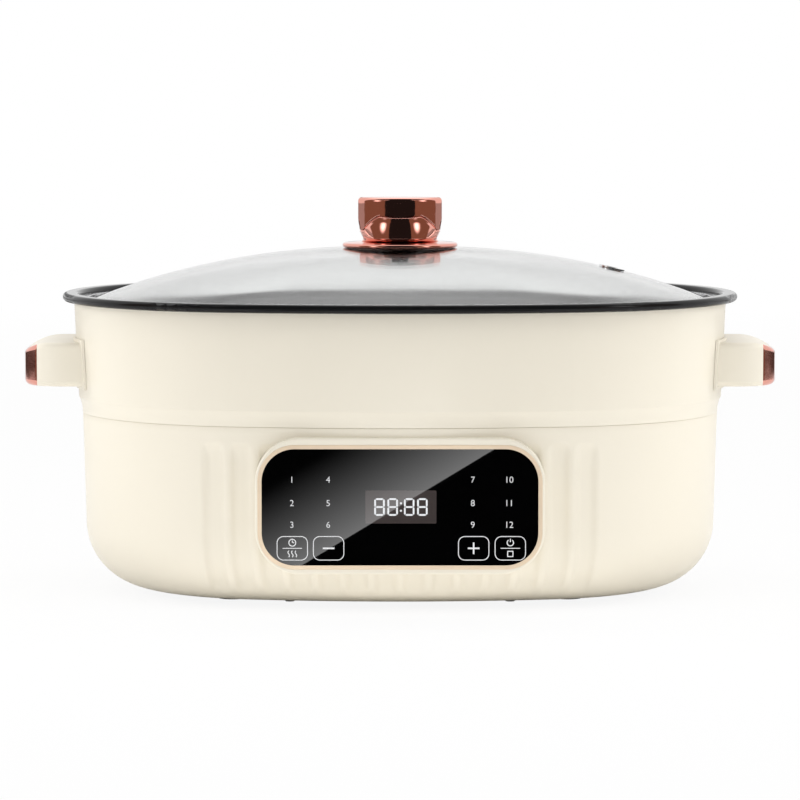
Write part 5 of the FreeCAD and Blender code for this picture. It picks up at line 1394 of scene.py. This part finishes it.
class HOTPOT_OT_housing(bpy.types.Operator):
    """Make the base housing with the flutes down its front"""
    bl_idname = "hotpot.housing"
    bl_label = "Fluted housing"

    def execute(self, context):
        make_housing(context.scene.hotpot.body)
        return {"FINISHED"}


class HOTPOT_OT_screws(bpy.types.Operator):
    """Make the screws that show, with their cross slots"""
    bl_idname = "hotpot.screws"
    bl_label = "Screws"

    def execute(self, context):
        tree = screw_tree()
        make_screws("bottom_screw_heads", tree, "bottom_screws", Vector((0, 0, -1)), 0.0098)
        make_screws("inlet_screw_heads", tree, "inlet_screws", Vector((0, 1, 0)), 0.0058)
        return {"FINISHED"}


class HOTPOT_OT_spring(bpy.types.Operator):
    """Make the spring under the temperature probe"""
    bl_idname = "hotpot.spring"
    bl_label = "Probe spring"

    def execute(self, context):
        make_spring()
        return {"FINISHED"}


class HOTPOT_OT_panel(bpy.types.Operator):
    """Make the display, its digits and the marks on the touch panel"""
    bl_idname = "hotpot.panel"
    bl_label = "Panel marks"

    def execute(self, context):
        panel = context.scene.hotpot.panel
        make_window()
        for make in (make_digits, make_numbers, make_keys, make_signs):
            make(panel)
        return {"FINISHED"}


class HOTPOT_OT_knob(bpy.types.Operator):
    """Make the knob on the lid and the plate under it"""
    bl_idname = "hotpot.knob"
    bl_label = "Knob"

    def execute(self, context):
        make_knob(context.scene.hotpot.knob)
        make_plate(context.scene.hotpot.knob)
        return {"FINISHED"}


class HOTPOT_OT_lid(bpy.types.Operator):
    """Make the domed glass of the lid"""
    bl_idname = "hotpot.lid"
    bl_label = "Glass lid"

    def execute(self, context):
        make_glass(context.scene.hotpot.body, context.scene.hotpot.lid)
        return {"FINISHED"}


class HOTPOT_OT_stage(bpy.types.Operator):
    """Make the floor, the lamps and the camera"""
    bl_idname = "hotpot.stage"
    bl_label = "Stage"

    def execute(self, context):
        make_stage()
        return {"FINISHED"}


class HOTPOT_PT_sidebar(bpy.types.Panel):
    """Lists the pieces of the hot pot and their sizes"""
    bl_idname = "HOTPOT_PT_sidebar"
    bl_label = "Hot pot"
    bl_space_type = "VIEW_3D"
    bl_region_type = "UI"
    bl_category = "Hot pot"

    def draw(self, context):
        for operator in OPERATORS:
            self.layout.operator(operator.bl_idname)
        settings = context.scene.hotpot
        for group in (settings.body, settings.panel, settings.knob, settings.lid, settings.colours):
            box = self.layout.box()
            for name in group.bl_rna.properties.keys():
                if name not in ("rna_type", "name"):
                    box.prop(group, name)


OPERATORS = (HOTPOT_OT_finishes, HOTPOT_OT_housing, HOTPOT_OT_screws, HOTPOT_OT_spring,
             HOTPOT_OT_panel, HOTPOT_OT_knob, HOTPOT_OT_lid, HOTPOT_OT_stage)
CLASSES = (HotpotBody, HotpotPanel, HotpotKnob, HotpotLid, HotpotColours, HotpotSettings,
           *OPERATORS, HOTPOT_PT_sidebar)


def register():
    for item in CLASSES:
        bpy.utils.register_class(item)
    bpy.types.Scene.hotpot = bpy.props.PointerProperty(type=HotpotSettings)


def unregister():
    del bpy.types.Scene.hotpot
    for item in reversed(CLASSES):
        bpy.utils.unregister_class(item)


def main():
    register()
    for operator in OPERATORS:
        group, name = operator.bl_idname.split(".")
        getattr(getattr(bpy.ops, group), name)()


if __name__ == "__main__":
    main()
